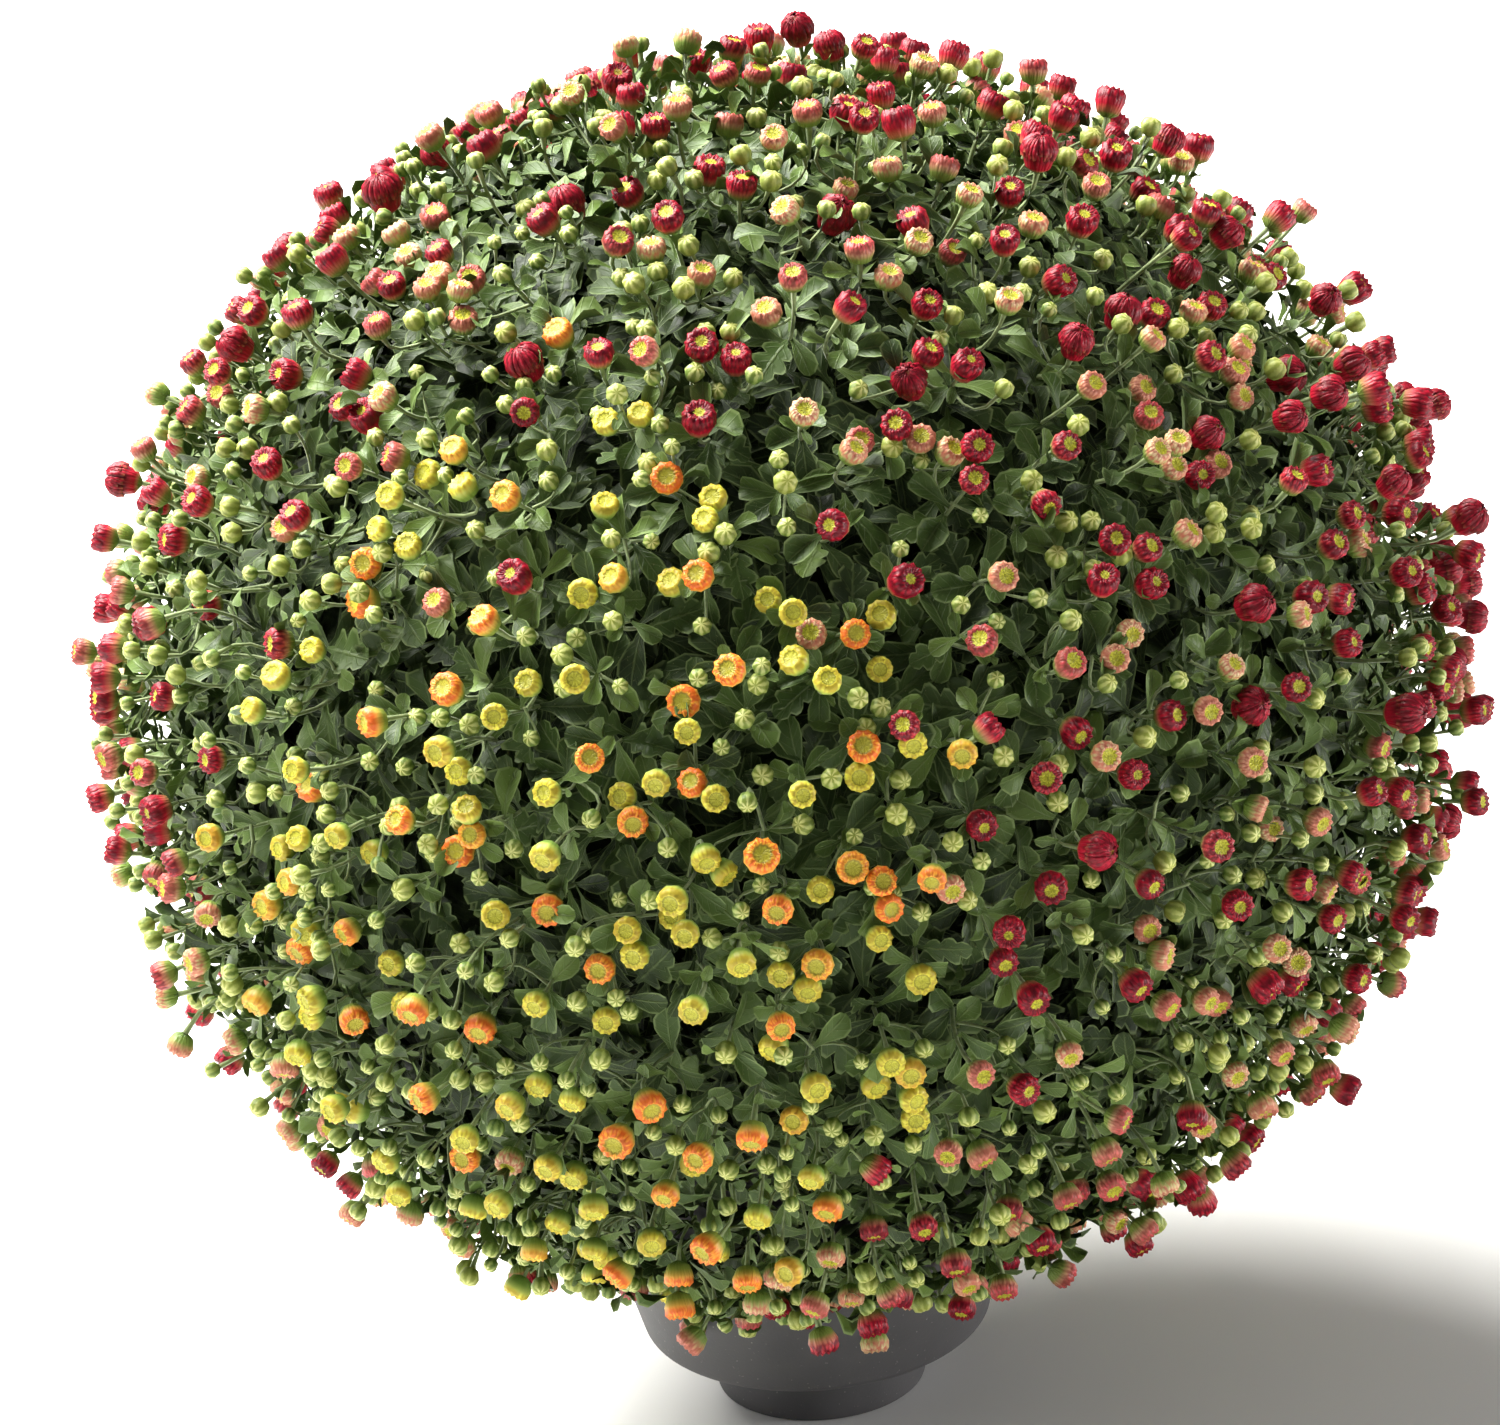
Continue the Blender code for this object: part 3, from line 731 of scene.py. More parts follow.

# %% [markdown]
# ## The leaf's colour
# The leaves are a greyed green, matt with fine hairs, and no two are alike: old ones inside are dark,
# from their age and from painted shade deep in the bush, young ones paler. The rib, the side veins and
# the very edge are paler lines. We know where each corner lies on its leaf, so these lines are drawn
# from two numbers on the mesh and follow every leaf exactly.

# %% Leaf material
LEAF_DARK, LEAF_MIDDLE, LEAF_LIGHT = (0.010, 0.024, 0.003), (0.040, 0.079, 0.009), (0.104, 0.168, 0.026)
LEAF_LINE = (0.225, 0.30, 0.11)
leaf = Recipe("grey_green_leaf", roughness=0.5, specular=0.3)
leaf.shader.inputs["Sheen Weight"].default_value = 0.03
leaf.shader.inputs["Sheen Roughness"].default_value = 0.5
leaf_tone, leaf_across, leaf_along = leaf.read("tone"), leaf.read("across"), leaf.read("along")
leaf_base = leaf.ramp(leaf_tone, [(0.0, LEAF_DARK), (0.5, LEAF_MIDDLE), (1.0, LEAF_LIGHT)])
leaf_blotch = leaf.noise(70, 2)
leaf_base = leaf.mix(leaf.ramp(leaf_blotch, [(0.40, 0.0), (0.80, 0.35)]), leaf_base, (0.108, 0.165, 0.042))
from_rib = leaf.math("ABSOLUTE", leaf_across)
rib = leaf.ramp(from_rib, [(0.0, 1.0), (0.06, 0.6), (0.11, 0.0)])
veins_along = leaf.math("MULTIPLY", leaf_along, 6.0)
slanted = leaf.math("SUBTRACT", veins_along, leaf.math("MULTIPLY", from_rib, 1.6))
near_vein = leaf.math("ABSOLUTE", leaf.math("SUBTRACT", leaf.math("FRACT", slanted), 0.5))
vein = leaf.ramp(near_vein, [(0.0, 1.0), (0.05, 0.5), (0.11, 0.0)])
margin = leaf.ramp(from_rib, [(0.80, 0.0), (0.92, 1.0)])
pale = leaf.mix(leaf.math("MULTIPLY", rib, 0.38), leaf_base, LEAF_LINE)
pale = leaf.mix(leaf.math("MULTIPLY", vein, 0.14), pale, LEAF_LINE)
pale = leaf.mix(leaf.math("MULTIPLY", margin, 0.55), pale, LEAF_LINE)
grain = leaf.noise(420, 2)
relief = leaf.math("SUBTRACT", leaf.math("MULTIPLY", grain, 0.6), leaf.math("MULTIPLY", rib, 0.8))
leaf.bump(leaf.math("SUBTRACT", relief, leaf.math("MULTIPLY", vein, 0.4)), 0.0006, 0.6)
speckle = leaf.ramp(leaf.noise(1400, 1), [(0.0, 0.0), (0.72, 0.0), (0.76, 1.0)])
leaf_colour = leaf.mix(leaf.math("MULTIPLY", speckle, 0.5), pale, (0.26, 0.27, 0.12))
leaf_finish = leaf.finish(leaf_colour, leaf.ramp(leaf_blotch, [(0.2, 0.42), (0.8, 0.62)]))
print("leaf material ready")

# %% [markdown]
# ## Leaves round each shoot
# Leaves leave a shoot one by one, each turned by the golden angle from the last, the lowest the largest
# and the flattest. Each row below is one leaf of every shoot: how far up the shoot, how long, how
# steep.

# %% Leaf rows
INNER_ROWS = (
    (-0.30, 0.032, 0.02), (-0.20, 0.031, 0.10), (-0.10, 0.030, 0.18),
    (0.00, 0.029, 0.26), (0.14, 0.028, 0.36),
)
LOBED_ROWS = ((0.05, 0.028, 0.22), (0.22, 0.026, 0.35), (0.40, 0.023, 0.50))
SPOON_ROWS = (
    (0.38, 0.0205, 0.24), (0.51, 0.0195, 0.34), (0.64, 0.0185, 0.45),
    (0.76, 0.0175, 0.56), (0.87, 0.0160, 0.70), (0.97, 0.0135, 0.90),
)
TURN_SPREAD, PLACE_SPREAD, RISE_SPREAD = 0.25, 0.07, 0.18
LENGTH_SPREAD = (0.75, 1.2)
LOWEST_TONE, AGE_AND_SHADE_TONE_GAIN = 0.13, 0.58


def leaves_of(draw, rows, template, first_turn, cup=LEAF_CUP):
    """All leaves of all shoots as corners, with the tone of each and the plant it belongs to."""
    corners_of, tones = [], []
    side, other = frame_round(shoot_axis)
    start_turn = shoot_turn + first_turn
    for step, (share, length, rise) in enumerate(rows):
        angle = start_turn + step * GOLDEN_ANGLE + draw.normal(size=SHOOTS) * TURN_SPREAD
        flat = side * np.cos(angle)[:, None] + other * np.sin(angle)[:, None]
        height = shoot_length * (share + draw.normal(size=SHOOTS) * PLACE_SPREAD)
        root = shoot_root + shoot_axis * height[:, None]
        lengths = length * draw.uniform(*LENGTH_SPREAD, SHOOTS)
        rises = rise + draw.normal(size=SHOOTS) * RISE_SPREAD
        corners_of.append(push_off_pot(blades(root, flat, shoot_axis, lengths, rises, template, draw, cup)))
        varied = 0.28 if share > 0.15 else 0.20
        # Tone falls towards the foot of the shoot: older leaves are darker there, and part of the fall is
        # painted shade, as those leaves lie deep in the bush.
        tone = LOWEST_TONE + AGE_AND_SHADE_TONE_GAIN * share + draw.normal(size=SHOOTS) * varied
        tones.append(np.clip(tone, 0, 1))
    return np.concatenate(corners_of), np.concatenate(tones), np.tile(shoot_plant, len(rows))


def add_blades(kind, corners_of, tones, owners, template):
    """One mesh of blades for each plant."""
    made = []
    for index, plant in enumerate(PLANTS):
        mine = owners == index
        fields = {"across": template[2], "along": template[0], "tone": tones[mine, None]}
        thing = grow(f"{plant}_{kind}", corners_of[mine], template[3], template[4], fields, leaf_finish)
        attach(thing, "root")
        made.append(thing)
        print(thing.name, "leaves", int(mine.sum()), "triangles", triangles(thing))
    return made


print("leaves on a shoot:", len(LOBED_ROWS) + len(SPOON_ROWS) + len(INNER_ROWS))

# %% [markdown]
# Now all leaves are grown, one mesh for each kind on each plant. The lobed leaves take the place of the
# construction model's three plants, which are hidden; the small upper leaves and the shaded inner ones
# join them. The inner ones are deep in shade, so the plainest blade is enough.

# %% Grow the leaves
leaf_draw = np.random.default_rng(33)
shoot_turn = leaf_draw.uniform(0, ALL_ROUND, SHOOTS)
lobed_leaves = leaves_of(leaf_draw, LOBED_ROWS, lobed, 0.0)
for thing, node in zip(add_blades("lobed_leaves", *lobed_leaves, lobed), PLANT_NODES):
    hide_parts(node)
spoon_leaves = leaves_of(leaf_draw, SPOON_ROWS, spoon, 4 * GOLDEN_ANGLE, (0.15, 0.65))
add_blades("upper_leaves", *spoon_leaves, spoon)
inner_leaves = leaves_of(leaf_draw, INNER_ROWS, bract, 1.0)
add_blades("inner_leaves", *inner_leaves, bract)

# %% [markdown]
# ## Which buds are where
# In the photograph the yellow plant's flowers fill an uneven patch at the lower front of the head, and
# its shoots carry more side buds. The patch is a middle direction and, for twelve compass directions
# round it, how many degrees it reaches.

# %% The yellow patch
YELLOW_MIDDLE = np.array([-0.27, -0.93, 0.25])
YELLOW_REACHES = (22, 23, 27, 34, 31, 27, 35, 44, 64, 65, 37, 33)


def past_yellow_edge(directions):
    """Angle from a direction to the edge of the yellow plant's patch, below zero inside it."""
    middle = unit(YELLOW_MIDDLE)
    rightward = unit(np.cross([0.0, 0.0, 1.0], middle))
    compass = np.degrees(np.arctan2(directions @ np.cross(middle, rightward), directions @ rightward)) % 360
    reach = np.interp(compass, np.linspace(0, 360, 13), YELLOW_REACHES + YELLOW_REACHES[:1])
    return np.arccos(np.clip(directions @ middle, -1, 1)) - np.radians(reach)


print("shoots in the yellow patch", int((past_yellow_edge(shoots) < 0).sum()))

# %% [markdown]
# The bud at the top of a shoot opens first, so it is the largest and stands highest; up to five side
# buds stand round it, a little lower. Their places are angles round the shoot and shares of the way out
# from the head's centre, drawn for all buds at once.

# %% Buds: places
SIDE_BUDS_MEAN, YELLOW_MORE, MOST_SIDE_BUDS = 1.32, 0.7, 5
TIP_REACH = (0.935, 1.0)
SIDE_REACH = (0.915, 0.975)
FAR_OUT, FAR_OUT_CHANCE = 0.028, 0.14
SIDE_AWAY = (0.034, 0.070)

bud_draw = np.random.default_rng(77)
shoot_side, shoot_other = frame_round(shoots)
crowding = SIDE_BUDS_MEAN + YELLOW_MORE * (past_yellow_edge(shoots) < 0)
side_counts = np.minimum(bud_draw.poisson(crowding), MOST_SIDE_BUDS)
tip_direction = unit(shoots + shoot_lean * 0.12)
bud_shoot = np.concatenate([np.arange(SHOOTS), np.repeat(np.arange(SHOOTS), side_counts)])
bud_is_tip = np.arange(len(bud_shoot)) < SHOOTS
BUDS = len(bud_shoot)
step_of = np.concatenate([np.zeros(SHOOTS), np.concatenate([np.arange(count) for count in side_counts])])
angle = bud_draw.uniform(0, ALL_ROUND, SHOOTS)[bud_shoot]
angle = angle + step_of * ALL_ROUND / np.maximum(side_counts, 1)[bud_shoot]
angle = angle + bud_draw.normal(size=BUDS) * 0.3
away = np.where(bud_is_tip, 0.0, bud_draw.uniform(*SIDE_AWAY, BUDS))
sideways = shoot_side[bud_shoot] * np.cos(angle)[:, None] + shoot_other[bud_shoot] * np.sin(angle)[:, None]
bud_direction = unit(tip_direction[bud_shoot] + sideways * away[:, None])
bud_share = np.where(bud_is_tip, bud_draw.uniform(*TIP_REACH, BUDS), bud_draw.uniform(*SIDE_REACH, BUDS))
bud_share = bud_share + FAR_OUT * (bud_is_tip & (bud_draw.random(BUDS) < FAR_OUT_CHANCE))
print("buds", BUDS, "at the tips", int(bud_is_tip.sum()))

# %% [markdown]
# How far open a bud is runs from 0, tight and green, to 1, a ball of petals. It depends on whether the
# bud is at the tip, on chance, and on where it is: the right side and the top of the head are a little
# ahead, and buds close together are somewhat alike.

# %% Buds: how far open
GREEN_UNTIL, BALL_FROM = 0.40, 0.84
TIP_OPENING, SIDE_OPENING, OPENING_SPREAD = 0.58, 0.24, 0.17
SEASON = np.array([0.095, 0.02, 0.06])

local_season = 0.05 * crumbs(bud_direction, 0.7, 12) + bud_direction @ SEASON
opening = np.where(bud_is_tip, TIP_OPENING, SIDE_OPENING)
opening = opening + bud_draw.normal(size=BUDS) * OPENING_SPREAD + local_season
opening = np.clip(opening, 0, 1)
print("buds", BUDS, "open", int((opening > GREEN_UNTIL).sum()))

# %% [markdown]
# The buds on the yellow plant, at the lower front, are yellow and orange; everywhere else they are pink
# and deep red. The border is an uneven line, because shoots of neighbouring plants grow through each
# other.

# %% Buds: colour family
STRAY_CHANCE, STRAY_REACH = 0.08, 0.20
YELLOW_EARLIER = 0.07

past_edge = past_yellow_edge(bud_direction)
ragged = 0.05 * crumbs(bud_direction, 0.9, 9) + bud_draw.normal(size=SHOOTS)[bud_shoot] * 0.035
bud_yellow = past_edge + ragged < 0
stray = bud_draw.random(SHOOTS)[bud_shoot]
bud_yellow ^= (stray < STRAY_CHANCE) & (past_edge < STRAY_REACH)
is_green = opening < np.where(bud_yellow, GREEN_UNTIL - YELLOW_EARLIER, GREEN_UNTIL)
is_ball = ~is_green & ~bud_yellow & (opening > BALL_FROM)
is_ring = ~is_green & ~is_ball
print("buds of the yellow kind", int(bud_yellow.sum()), "of the red kind", int((~bud_yellow).sum()))

# %% [markdown]
# A bud swells as it opens. Once the sizes are known, buds that overlap are moved apart a little, a few
# times over, which is what neighbours do to each other as they grow.

# %% Buds: size and room
GREEN_SIZE, GREEN_SWELL = 0.0034, 0.0034
BALL_SIZE, BALL_SWELL = 0.0066, 0.004
RING_SIZE, YELLOW_SWELL, RED_SWELL = 0.0050, 0.0019, 0.0022

green_radius = GREEN_SIZE + GREEN_SWELL * opening
ball_radius = BALL_SIZE + BALL_SWELL * (opening - BALL_FROM)
yellow_radius = RING_SIZE + YELLOW_SWELL * opening
red_radius = RING_SIZE + RED_SWELL * opening
bud_size = np.select(
    [is_green, is_ball, bud_yellow], [green_radius, ball_radius, yellow_radius], red_radius
) * bud_draw.uniform(0.93, 1.07, BUDS)


def part_buds(directions, shares, sizes, rounds=10):
    """Move buds that overlap apart, as they do when they grow."""
    moved = directions.copy()
    for _ in range(rounds):
        places = head_point(moved, shares)
        near = places @ places.T
        squares = np.diag(near)[:, None] + np.diag(near)[None] - 2 * near
        first, second = np.nonzero(np.triu(squares < (sizes[:, None] + sizes[None]) ** 2 * 1.1, 1))
        apart = places[first] - places[second]
        gap = np.linalg.norm(apart, axis=1)
        wanted = 1.05 * (sizes[first] + sizes[second])
        push = apart / gap[:, None] * (np.maximum(wanted - gap, 0) * 0.55)[:, None]
        shift = np.zeros_like(places)
        np.add.at(shift, first, push)
        np.add.at(shift, second, -push)
        moved = unit(moved + shift / HEAD_HALF)
    print("bud pairs still touching", len(first))
    return moved


bud_direction = part_buds(bud_direction, bud_share, bud_size)
print("green", int(is_green.sum()), "yellow rings", int((is_ring & bud_yellow).sum()),
      "red rings", int((is_ring & ~bud_yellow).sum()), "balls", int(is_ball.sum()))

# %% [markdown]
# ## The flower stalks
# Each bud stands on its own thin stalk, which leaves the shoot among its upper leaves and arches
# outward. A quadratic curve drawn towards a point under the bud has just that shape, and the bud then
# faces along its end.

# %% Where the stalks run
STALK_POINTS, STALK_SIDES = 5, 4
STALK_TAPER = np.array([1.05, 0.88, 0.85, 0.92, 1.35])
TIP_STALK, SIDE_STALK = 0.00098, 0.00076
BUD_BACK = 1.08
BUD_LEAN = 0.24
YELLOW_TALLER, RED_TALLER = 0.25, 0.55

bud_axis = unit(head_normal(bud_direction) + bud_draw.normal(size=(BUDS, 3)) * BUD_LEAN)
bud_tall = 1 + np.where(bud_yellow, YELLOW_TALLER, RED_TALLER) * np.clip(opening - GREEN_UNTIL, 0, 0.45)
bud_height = bud_size * bud_tall
bud_place = head_point(bud_direction, bud_share) - bud_axis * (0.45 * bud_height)[:, None]
bud_base = bud_place - bud_axis * (BUD_BACK * bud_height)[:, None]
branch_share = np.where(bud_is_tip, 0.45, bud_draw.uniform(0.60, 0.85, BUDS))
branch_height = shoot_length[bud_shoot] * branch_share
stalk_start = shoot_root[bud_shoot] + shoot_axis[bud_shoot] * branch_height[:, None]
stalk_reach = np.linalg.norm(bud_base - stalk_start, axis=1)
stalk_bend = bud_base - bud_axis * (stalk_reach * 0.50)[:, None]
stalk_curves = bent(stalk_start, stalk_bend, bud_base, STALK_POINTS)
stalk_thick = np.where(bud_is_tip, TIP_STALK, SIDE_STALK) * bud_draw.uniform(0.85, 1.15, BUDS)
stalk_corners = push_off_pot(tube_points(stalk_curves, stalk_thick[:, None] * STALK_TAPER, STALK_SIDES))
stalk_faces, stalk_spots = ring_faces(STALK_POINTS, STALK_SIDES)
print("longest stalk", round(float(stalk_reach.max()), 3), "m")

# %% [markdown]
# The stalks are paler than the leaves, because fine down covers them. A fine noise mixes two greens, and
# a little sheen stands for the down, which is too fine to model.

# %% Stalk finish
downy = Recipe("pale_downy_stalk", roughness=0.6, specular=0.3)
downy.shader.inputs["Sheen Weight"].default_value = 0.2
fine_noise = downy.noise(320, 3)
downy.bump(fine_noise, 0.0003, 0.5)
stalk_finish = downy.finish(downy.ramp(fine_noise, [(0.3, (0.13, 0.18, 0.062)), (0.7, (0.25, 0.31, 0.13))]))
for index, plant in enumerate(PLANTS):
    mine = shoot_plant[bud_shoot] == index
    stalks = grow(f"{plant}_stalks", stalk_corners[mine], stalk_faces, stalk_spots, None, stalk_finish)
    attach(stalks, "root")
    print(stalks.name, "triangles", triangles(stalks))

# %% [markdown]
# Two tiny leaves, the bracts, stand steeply on the upper half of each top bud's stalk. They are the
# youngest leaves on the plant, so they are the palest.

# %% Bracts
BRACT_ROWS = ((0.22, 0.0120, 0.75), (0.48, 0.0085, 0.90))
BRACT_CUP, BRACT_CURL, BRACT_TONE = (0.2, 0.6), (-0.3, 1.0), 0.75

tips = np.arange(SHOOTS)
bract_corners, bract_tones = [], []
along_stalk = unit(bud_base[tips] - stalk_start[tips])
bract_side, bract_other = frame_round(along_stalk)
for step, (share, length, rise) in enumerate(BRACT_ROWS):
    angle = shoot_turn + step * GOLDEN_ANGLE + leaf_draw.normal(size=SHOOTS) * 0.6
    flat = bract_side * np.cos(angle)[:, None] + bract_other * np.sin(angle)[:, None]
    root = stalk_curves[tips, 2] * (1 - share) + stalk_curves[tips, 4] * share
    lengths = length * leaf_draw.uniform(0.7, 1.25, SHOOTS)
    rises = rise + leaf_draw.normal(size=SHOOTS) * 0.2
    made = blades(root, flat, along_stalk, lengths, rises, bract, leaf_draw, BRACT_CUP, BRACT_CURL)
    bract_corners.append(push_off_pot(made))
    bract_tones.append(np.clip(BRACT_TONE + leaf_draw.normal(size=SHOOTS) * 0.15, 0, 1))
bract_owners = np.tile(shoot_plant, len(BRACT_ROWS))
add_blades("bracts", np.concatenate(bract_corners), np.concatenate(bract_tones), bract_owners, bract)

# %% [markdown]
# ## The shape of a bud
# Seen from above, a bud is a small wheel: a green cup of bracts, then a ring of petals that curl in,
# and a dimple in the middle. We spin an outline round each bud's axis, as for the pot, but press it in
# between the petals. On the opening ones each row of petals sits between those of the row before, so
# the ridges alternate like scales.

# %% Bud outlines and their spinning
TIGHT_LINE = (
    (0.20, -1.08, 0.0), (0.74, -0.80, 0.5), (1.0, -0.10, 1.0), (0.82, 0.46, 1.0), (0.36, 0.66, 0.7),
)
RING_LINE = (
    (0.22, -1.08, 0.0), (0.74, -0.84, 0.3), (1.0, -0.22, 0.5),
    (0.97, 0.22, 0.8), (0.72, 0.47, 1.0), (0.50, 0.34, 0.7), (0.25, 0.33, 0.4),
)


def wheel_template(line, petals, rib, scaly):
    """A ribbed bud of unit size: corners, faces, map places, heights, and nearness to a crest."""
    steps = petals * 2
    turns = np.arange(steps) * ALL_ROUND / steps
    rows = len(line)
    points = np.zeros((rows, steps, 3))
    crests = np.zeros((rows, steps))
    for row, (radius, height_at, share) in enumerate(line):
        shift = math.pi * row if scaly and row >= 2 else 0.0
        crests[row] = 0.5 + 0.5 * np.cos(turns * petals + shift)
        press = 1 - rib * share * (1 - crests[row])
        points[row, :, 0] = radius * press * np.cos(turns)
        points[row, :, 1] = radius * press * np.sin(turns)
        points[row, :, 2] = height_at + rib * share * 0.9 * (crests[row] - 0.5) * (height_at > 0)
    faces, spots = ring_faces(rows, steps, rows)
    top, last, high = rows * steps, (rows - 1) * steps, (rows - 1) / rows
    for step in range(steps):
        after = (step + 1) % steps
        faces.append((last + step, last + after, top))
        spots += [(step / steps, high), ((step + 1) / steps, high), ((step + 0.5) / steps, 1.0)]
    up = np.append(np.repeat(np.arange(rows) / rows, steps), 1.0)
    centre = [[0.0, 0.0, line[-1][1] - 0.02]]
    points = np.concatenate([points.reshape(-1, 3), centre])
    return points, faces, spots, up, np.append(crests.ravel(), 0.5)


print("corners of a bud with 10 petals:", len(wheel_template(RING_LINE, 10, 0.1, True)[0]))

# %% [markdown]
# A bud template is one unit in size and points straight up. Each copy is turned by a chance angle about
# its own axis, scaled to its bud, and set on the end of its stalk. The copies carry how open the bud is,
# how high up it a corner lies, and the corner's compass direction, all for the materials.

# %% Set buds on their stalks
bud_spin = bud_draw.uniform(0, ALL_ROUND, BUDS)


def set_on_stalks(unit_points, chosen):
    """Copies of unit corners, one set for each chosen bud, turned onto its axis and scaled."""
    side, other = frame_round(bud_axis[chosen])
    cos, sin = np.cos(bud_spin[chosen])[:, None], np.sin(bud_spin[chosen])[:, None]
    side, other = side * cos + other * sin, other * cos - side * sin
    wide, tall = bud_size[chosen, None, None], bud_height[chosen, None, None]
    across = unit_points[None, :, 0:1] * side[:, None] + unit_points[None, :, 1:2] * other[:, None]
    upward = unit_points[None, :, 2:3] * bud_axis[chosen][:, None]
    return bud_place[chosen][:, None] + wide * across + tall * upward


def add_buds(name, chosen, template, material):
    """One mesh of all chosen buds."""
    unit_points, faces, spots, up, crests = template
    points = set_on_stalks(unit_points, chosen)
    compass = unit(unit_points[:, :2])
    fields = {"up": up, "crest": crests, "tone": opening[chosen, None]}
    fields |= {"east": compass[:, 0], "north": compass[:, 1]}
    thing = grow(name, points, faces, spots, fields, material)
    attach(thing, "root")
    print(name, "buds", int(chosen.sum()), "triangles", triangles(thing))


print("buds turned by", bud_spin[:3].round(2), "and so on")

# %% [markdown]
# ## Green buds
# The youngest buds are closed: pale bracts lie like staves over a flattened ball, with darker green
# between. The pale staves are the ribs of the mesh, so the colour is read from how near a corner is to
# a crest.

# %% Green bud material
green = Recipe("green_bud", roughness=0.5, specular=0.35)
green_up, green_crest, green_tone = green.read("up"), green.read("crest"), green.read("tone")
groove = green.ramp(green_up, [
    (0.0, (0.04, 0.09, 0.015)), (0.4, (0.09, 0.155, 0.022)), (0.8, (0.20, 0.25, 0.030)),
])
stave = green.ramp(green_up, [
    (0.0, (0.08, 0.15, 0.035)), (0.4, (0.25, 0.33, 0.08)), (0.8, (0.58, 0.59, 0.22)),
])
mottle = green.noise(420, 3)
on_stave = green.math("ADD", green_crest, green.math("MULTIPLY", green.math("SUBTRACT", mottle, 0.5), 1.4))
young = green.mix(green.ramp(on_stave, [(0.32, 0.0), (0.72, 1.0)]), groove, stave)
yellowed = green.mix(green.ramp(green_tone, [(0.15, 0.0), (0.42, 0.34)]), young, (0.44, 0.44, 0.070))
green.bump(green.noise(900, 3), 0.0005, 0.5)
green_finish = green.finish(yellowed)
print("green bud nodes", len(green.nodes))

# %% [markdown]
# Most buds show seven staves. The smallest ones of the red plants show six, with a few faces less, and
# are a piece of their own.

# %% Green buds
SMALL_UNTIL = 0.22
tight = wheel_template(TIGHT_LINE, 7, 0.065, False)
small_tight = wheel_template(TIGHT_LINE, 6, 0.075, False)
is_small = opening < SMALL_UNTIL
on_red_plants = is_green & ~bud_yellow
add_buds("yellow_plant_green_buds", is_green & bud_yellow, tight, green_finish)
add_buds("green_buds", on_red_plants & ~is_small, tight, green_finish)
add_buds("small_green_buds", on_red_plants & is_small, small_tight, green_finish)

# %% [markdown]
# ## Yellow and orange ring buds
# On the yellow plant the petals have broken through: a bright yellow ring round a greener middle, or an
# orange one on the buds that are further open.

# %% Yellow and orange from the cup to the middle
CUP_GREEN = (0.10, 0.18, 0.035)
yellow = Recipe("yellow_ring_bud", roughness=0.48, specular=0.35)
yellow_up, yellow_tone = yellow.read("up"), yellow.read("tone")
# In both ramps the dark stop at 0.71, between the ring and the middle, is painted shade where the ring's
# rim shades the middle.
lemon = yellow.ramp(yellow_up, [
    (0.0, CUP_GREEN), (0.20, (0.15, 0.25, 0.04)), (0.33, (0.40, 0.46, 0.08)), (0.44, (0.69, 0.64, 0.060)),
    (0.66, (0.68, 0.60, 0.040)), (0.71, (0.23, 0.22, 0.010)), (0.78, (0.50, 0.48, 0.04)),
])
orange = yellow.ramp(yellow_up, [
    (0.0, CUP_GREEN), (0.20, (0.22, 0.27, 0.04)), (0.32, (0.66, 0.34, 0.05)), (0.42, (0.86, 0.26, 0.022)),
    (0.62, (0.88, 0.44, 0.03)), (0.71, (0.26, 0.18, 0.012)), (0.78, (0.46, 0.40, 0.03)),
])
ripe = yellow.ramp(yellow_tone, [(0.55, 0.0), (0.63, 1.0)])
print("yellow bud nodes so far", len(yellow.nodes))

# %% [markdown]
# Close up, each ring is made of many narrow petals. Small cells laid round the bud give their pattern:
# the colour darkens and the bump sinks where a place is far from the middle of its cell. The greener
# middle gets fine dots, the tops of the unopened florets.

# %% Petals and dots of the yellow buds
on_yellow_ring = yellow.ramp(yellow_up, [(0.30, 0.0), (0.40, 1.0), (0.62, 1.0), (0.70, 0.0)])
yellow_seed = yellow.math("MULTIPLY", yellow_tone, 90.0)
off_lemon_petal = yellow.petals(17, 1.6, yellow_seed)
off_orange_petal = yellow.petals(27, 5.0, yellow_seed)
lemon_gap = yellow.ramp(off_lemon_petal, [(0.30, 0.0), (0.58, 0.9)])
orange_gap = yellow.ramp(off_orange_petal, [(0.30, 0.0), (0.54, 0.8)])
lemon_line = yellow.math("MULTIPLY", lemon_gap, on_yellow_ring)
orange_line = yellow.math("MULTIPLY", orange_gap, on_yellow_ring)
lined_lemon = yellow.mix(lemon_line, lemon, (0.40, 0.30, 0.020))
lined_orange = yellow.mix(orange_line, orange, (0.66, 0.085, 0.010))
petal = yellow.mix(ripe, lined_lemon, lined_orange)
yellow_grain = yellow.noise(1300, 2)
on_disc = yellow.ramp(yellow_up, [(0.70, 0.0), (0.76, 0.5)])
dots = yellow.math("MULTIPLY", yellow.ramp(yellow_grain, [(0.44, 1.0), (0.56, 0.0)]), on_disc)
dotted = yellow.mix(dots, petal, (0.30, 0.28, 0.015))
yellow_height = yellow.mix(ripe, off_lemon_petal, off_orange_petal)
yellow.bump(yellow.math("SUBTRACT", 1.0, yellow_height), 0.0006, 0.6)
yellow_finish = yellow.finish(dotted)
print("yellow bud nodes", len(yellow.nodes))

# %% [markdown]
# The less open buds have an even ring. On the orange ones the petals stand out more, so their outline is
# pressed in deeper between the petals.

# %% Yellow and orange buds
YELLOW_PETALS, ORANGE_FROM = 10, 0.61
smooth_ring = wheel_template(RING_LINE, YELLOW_PETALS, 0.115, True)
rough_ring = wheel_template(RING_LINE, YELLOW_PETALS, 0.13, True)
is_orange = is_ring & bud_yellow & (opening > ORANGE_FROM)
is_lemon = is_ring & bud_yellow & ~is_orange
add_buds("yellow_buds", is_lemon, smooth_ring, yellow_finish)
add_buds("orange_buds", is_orange, rough_ring, yellow_finish)

# %% [markdown]
# ## Pink and red ring buds
# On the red plants the ring is cream flushed with pink at first and turns crimson as it opens, round a
# yellow middle, in a green cup.

